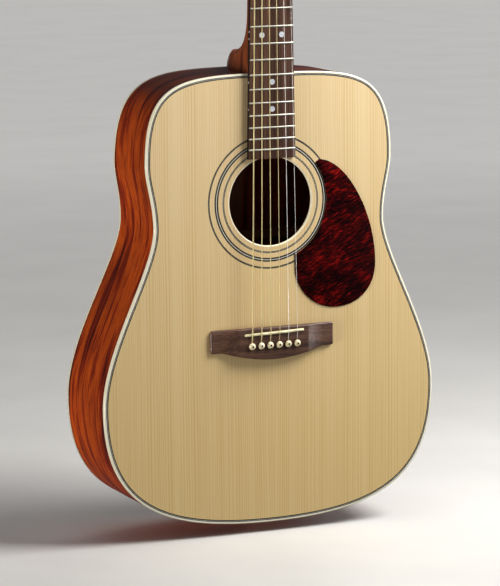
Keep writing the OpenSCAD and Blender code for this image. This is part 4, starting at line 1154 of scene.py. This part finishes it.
def rounded_rectangle(x0, x1, z0, z1, r, steps=6):
    corners = ((x1 - r, z1 - r, 0), (x0 + r, z1 - r, 1), (x0 + r, z0 + r, 2), (x1 - r, z0 + r, 3))
    turned = [(cx, cz, math.pi / 2 * (q + i / steps)) for cx, cz, q in corners for i in range(steps + 1)]
    return [(cx + r * math.cos(a), cz + r * math.sin(a)) for cx, cz, a in turned]


def make_housing(k):
    """Die-cast gear case with a soft back, a shaft collar and a screw tab."""
    number, place = 6 - k, tuner_place(k)
    base = rounded_rectangle(-8.4, 8.4, -8.4, 13, 3.4)
    case = rounded_plate(base, HEAD_T, CASE_BACK, 2.4, place, 6)
    tab = rounded_plate(rounded_rectangle(-4, 4, -14, -2, 3.6), HEAD_T, HEAD_T + 2, 0.6, place)
    collar = [(0.0, 6.0), (3.6, 6.0), (3.6, 11.6), (3.4, 12.0), (2.0, 12.0), (2.0, 10.0), (0, 10.0)]
    collar = lathe(collar, lambda a, b, h: place(h, GEAR_Y + a, WORM_Z + b), 36)
    housing = new_object(f"tuner_case_{number}", *join([case, tab, collar]), "root", CHROME,
                         "tuner_case_metal")
    merge_points(housing)
    sharpen(housing, 35)
    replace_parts(housing, "tuner_housings")


def make_bushing(k):
    """Threaded sleeve's hexagon and washer on the headstock's face."""
    number, place = 6 - k, tuner_place(k)
    washer = lathe([(3.05, -HEAD_T + 0.2), (4.88, -HEAD_T + 0.2), (4.88, VENEER_T), (6.9, VENEER_T),
                    (7.0, VENEER_T + 0.2), (6.9, VENEER_T + 0.7), (6.5, VENEER_T + 0.9),
                    (3.05, VENEER_T + 0.9)],
                   lambda a, b, h: place(a, -h, b), 60)

    def ring(radius, height, corners):
        turns = [math.pi / (corners / 2) * i for i in range(corners)]
        return [place(radius * math.cos(a), -VENEER_T - height, radius * math.sin(a)) for a in turns]

    loops = [ring(5.6 - inset, h, 6) for h, inset in ((0.8, 0), (2.6, 0), (2.95, 0.25), (3.2, 0.8))]
    top = fill_between([loops[-1], ring(3.05, 3.2, 30)])
    bushing = new_object(f"tuner_bushing_{number}", *join([washer, strip(loops), top]), "root", CHROME,
                         "tuner_case_metal")
    merge_points(bushing)
    sharpen(bushing, 28)
    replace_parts(bushing, "tuner_bushings")


def make_button(k):
    """Rounded button on the worm's shaft."""
    number, place = 6 - k, tuner_place(k)
    centre = BUTTON_X + BUTTON_LEN / 2
    points = [(BUTTON_LEN / 2 * math.cos(a) * (1 + 0.08 * math.cos(2 * a)), 9.5 * math.sin(a))
              for a in [2 * math.pi * i / 64 for i in range(64)]]
    half, loops = 3.5, []
    for i in range(-9, 10):
        t = math.pi / 2 * i / 10
        shrink = 0.86 + 0.14 * math.cos(t) ** 0.8 if abs(i) < 9 else 0.86
        depth = GEAR_Y + half * math.sin(t) / math.sin(math.pi / 2 * 0.9)
        loops.append([place(centre + a * shrink, depth, WORM_Z + b * shrink) for a, b in points])
    dish = [[place(centre + a * s, GEAR_Y + side * y, WORM_Z + b * s) for a, b in points]
            for side in (-1, 1) for s, y in ((0.8, half - 0.05), (0.5, half - 0.35), (0.15, half - 0.45))]
    parts = [strip(list(reversed(dish[:3])) + loops + dish[3:]),
             fill_between([dish[2]]), fill_between([dish[5]])]
    stem = lathe([(1.92, 13.2), (2.8, 13.2), (3.0, 13.5), (3.0, 18.5), (3.6, 21.6), (1.92, 21.6)],
                 lambda a, b, h: place(h, GEAR_Y + a, WORM_Z + b), 36)
    button = new_object(f"tuner_knob_{number}", *join(parts + [stem]), f"worm_{number}", CHROME,
                        "button_chrome")
    merge_points(button)
    sharpen(button, 45)
    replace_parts(button, f"tuner_button_{number}")


def make_screw(k):
    """Dome-headed screw with a cross slot holding the tab."""
    number, place = 6 - k, tuner_place(k)
    profile = [(0, -8.5), (0.3, -8.5), (1.1, -7), (1.15, 2), (2.3, 2), (2.3, 2.4), (2.05, 2.9), (1.6, 3.25),
               (0.9, 3.42), (0, 3.46)]
    turned = lathe(profile, lambda a, b, h: place(a, HEAD_T + h, -10.6 + b), 32)
    screw = new_object(f"tuner_screw_{number}", *turned, "root", STEEL, "tuner_case_metal")
    sharpen(screw, 40)
    # painted shade: black boxes through the dome stand for the dark recess of the cross slot
    slots = []
    for across, along in ((0.28, 1.35), (1.35, 0.28)):
        slots.append(loft([[place(a * across, HEAD_T + y, -10.6 + b * along) for a, b in
                            ((1, 1), (-1, 1), (-1, -1), (1, -1))] for y in (3.0, 3.5)]))
    cross = new_object(f"screw_slot_shade_{number}", *join(slots), "root", BLACK_DOT_AND_HOLE_SHADE, "tuner_case_metal",
                       smooth=False)
    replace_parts(screw, "tuner_screws")
    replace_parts(cross, "tuner_screws")


def make_strap_button():
    """Turned strap button in the tail."""
    profile = [(0, -12), (5.6, -12), (6.5, -11.6), (7, -10.8), (7, -8.6), (6.4, -7.6), (5.2, -6.6),
               (4.5, -5.4), (4.4, -4), (4.7, -2.6), (5.6, -1.4), (6, -0.6), (6, 0), (3.9, 0), (3.4, 22),
               (0, 22)]
    button = new_object("strap_button_turned", *lathe(profile, lambda a, b, h: at(a, 62 + b, h), 64), "root",
                        PIN_PLASTIC, "cream_plastic")
    sharpen(button, 50)
    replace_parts(button, "strap_button")


make_bridge()
make_saddle()
make_pins()
make_pickguard()
make_neck()
make_headstock()
make_strings()
for k in range(6):
    make_post(k)
    make_housing(k)
    make_bushing(k)
    make_button(k)
    make_screw(k)
make_strap_button()
round_edges(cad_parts["nut"], 0.35)
round_edges(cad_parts["fretboard"], 0.3, 2, 60)

# ---------------------------------------------------------------- stage, light and camera
YAW, PITCH, ROLL = math.radians(-23.59), math.radians(-9.21), math.radians(-0.365)
DISTANCE, AIM_X, AIM_UP = 3.73136, 0.02359, 0.0442
AIM_Z = ORIGIN.z + (NUT_Z - 560) * MM
FOCAL_MM = 202.9


def make_camera():
    """Long lens, from the bass side and a little above."""
    upright = Matrix(((1, 0, 0), (0, 0, 1), (0, -1, 0)))
    turn = (Matrix.Rotation(YAW, 3, "Z") @ Matrix.Rotation(PITCH, 3, "X")) @ upright
    turn = turn @ Matrix.Rotation(-ROLL, 3, "Z")
    offset = turn @ Vector((AIM_X, -AIM_UP, DISTANCE))
    place = Vector((0, ORIGIN.y, AIM_Z)) - offset
    data = bpy.data.cameras.new("camera")
    data.lens = FOCAL_MM
    data.sensor_width = 36
    data.clip_end = 50
    camera = bpy.data.objects.new("camera", data)
    looking = turn @ Matrix(((1, 0, 0), (0, -1, 0), (0, 0, -1)))
    camera.matrix_world = Matrix.Translation(place) @ looking.to_4x4()
    bpy.context.scene.collection.objects.link(camera)
    bpy.context.scene.camera = camera


AMBIENT = 0.13


def make_stage():
    """A round pale floor that glows more with distance; it throws no shadow and isn't reflected."""
    f = Finish("pale_floor", roughness=0.85, specular=0.2)
    grain = f.noise(f.place((5, 5, 5)), 1.0, detail=3)
    f.put("Base Color", f.ramp(grain, [(0.3, srgb(208, 206, 202)), (0.7, srgb(216, 214, 210))]))
    distance = f.add("ShaderNodeVectorMath", {0: f.place((0.2, 0.2, 0.2))}, output="Value",
                     operation="LENGTH")
    f.put("Emission Color", srgb(232, 230, 227))
    f.put("Emission Strength", f.value_ramp(distance, [(0.08, 0.0), (0.7, 0.36)]))
    radius, rings, steps = 9.0, 12, 96
    loops = [[Vector((radius * (i / rings) * math.cos(2 * math.pi * j / steps),
                      radius * (i / rings) * math.sin(2 * math.pi * j / steps), 0)) for j in range(steps)]
             for i in range(1, rings + 1)]
    verts, faces = strip(loops)
    faces.append(tuple(range(steps)))
    mesh = bpy.data.meshes.new("floor")
    mesh.from_pydata([tuple(v) for v in verts], [], faces)
    floor = bpy.data.objects.new("floor", mesh)
    bpy.context.scene.collection.objects.link(floor)
    mesh.materials.append(f.material)
    floor.visible_glossy = False
    floor.visible_diffuse = False
    floor.visible_shadow = False


def area_light(name, place, target, size, power, colour=(1, 1, 1)):
    data = bpy.data.lights.new(name, "AREA")
    data.shape = "RECTANGLE"
    data.size, data.size_y = size
    data.energy = power
    data.color = colour
    light = bpy.data.objects.new(name, data)
    light.location = place
    light.rotation_euler = (Vector(target) - Vector(place)).to_track_quat("-Z", "Y").to_euler()
    light.visible_camera = False
    bpy.context.scene.collection.objects.link(light)


def sun_light(name, direction, strength, softness, colour=(1, 1, 1)):
    """A broad light from far away, shining along a direction."""
    data = bpy.data.lights.new(name, "SUN")
    data.energy = strength
    data.color = colour
    data.angle = math.radians(softness)
    light = bpy.data.objects.new(name, data)
    light.rotation_euler = Vector(direction).to_track_quat("-Z", "Y").to_euler()
    bpy.context.scene.collection.objects.link(light)


def background(tree, colour, strength):
    """A plain or a varying surround."""
    node = tree.nodes.new("ShaderNodeBackground")
    if isinstance(colour, tuple):
        node.inputs[0].default_value = colour
    else:
        tree.links.new(colour, node.inputs[0])
    node.inputs[1].default_value = strength
    return node.outputs[0]


def overhead_glow(tree):
    """Dark at eye level and bright overhead, so that metal shines and lacquer keeps its colour."""
    where, height = tree.nodes.new("ShaderNodeTexCoord"), tree.nodes.new("ShaderNodeSeparateXYZ")
    ramp = tree.nodes.new("ShaderNodeValToRGB")
    tree.links.new(where.outputs["Generated"], height.inputs[0])
    tree.links.new(height.outputs["Z"], ramp.inputs[0])
    low, high = ramp.color_ramp.elements
    low.position, low.color = 0.38, (0.05, 0.05, 0.055, 1)
    high.position, high.color = 0.75, (0.9, 0.92, 0.95, 1)
    return ramp.outputs["Color"]


def make_surround():
    """A studio that is pale to look at, soft as light and dim in reflections."""
    world = bpy.data.worlds.new("studio")
    bpy.context.scene.world = world
    world.use_nodes = True
    tree = world.node_tree
    path = tree.nodes.new("ShaderNodeLightPath")
    seen = background(tree, srgb(196, 195, 193), 1.0)
    ambient = background(tree, (0.95, 0.96, 1.0, 1), AMBIENT)
    mirrored = background(tree, overhead_glow(tree), 1.0)
    for ray, shader in (("Is Glossy Ray", mirrored), ("Is Camera Ray", seen)):
        blend = tree.nodes.new("ShaderNodeMixShader")
        tree.links.new(path.outputs[ray], blend.inputs[0])
        tree.links.new(ambient, blend.inputs[1])
        tree.links.new(shader, blend.inputs[2])
        ambient = blend.outputs[0]
    tree.links.new(ambient, tree.nodes["World Output"].inputs[0])


def make_lights():
    """A soft key high on the right, and four suns.

    The fill and the side light shine upwards from below the horizon, through the floor, which throws no
    shadow. The back light and the overhead one shine down.
    """
    bpy.context.scene.view_settings.view_transform = "Standard"
    make_surround()
    area_light("key", (0.78, -0.46, 1.16), (0, 0, 0.42), (0.7, 0.7), 29, (1.0, 0.99, 0.975))
    sun_light("fill", (0.96, 0.16, 0.16), 2.45, 18, (1.0, 0.95, 0.86))
    sun_light("side_light", (-0.84, 0.5, 0.13), 0.5, 15)
    sun_light("back_light", (-0.72, -0.65, -0.24), 1.2, 30)
    sun_light("overhead", (0.1, 0.12, -1), 0.12, 25)


make_camera()
make_stage()
make_lights()
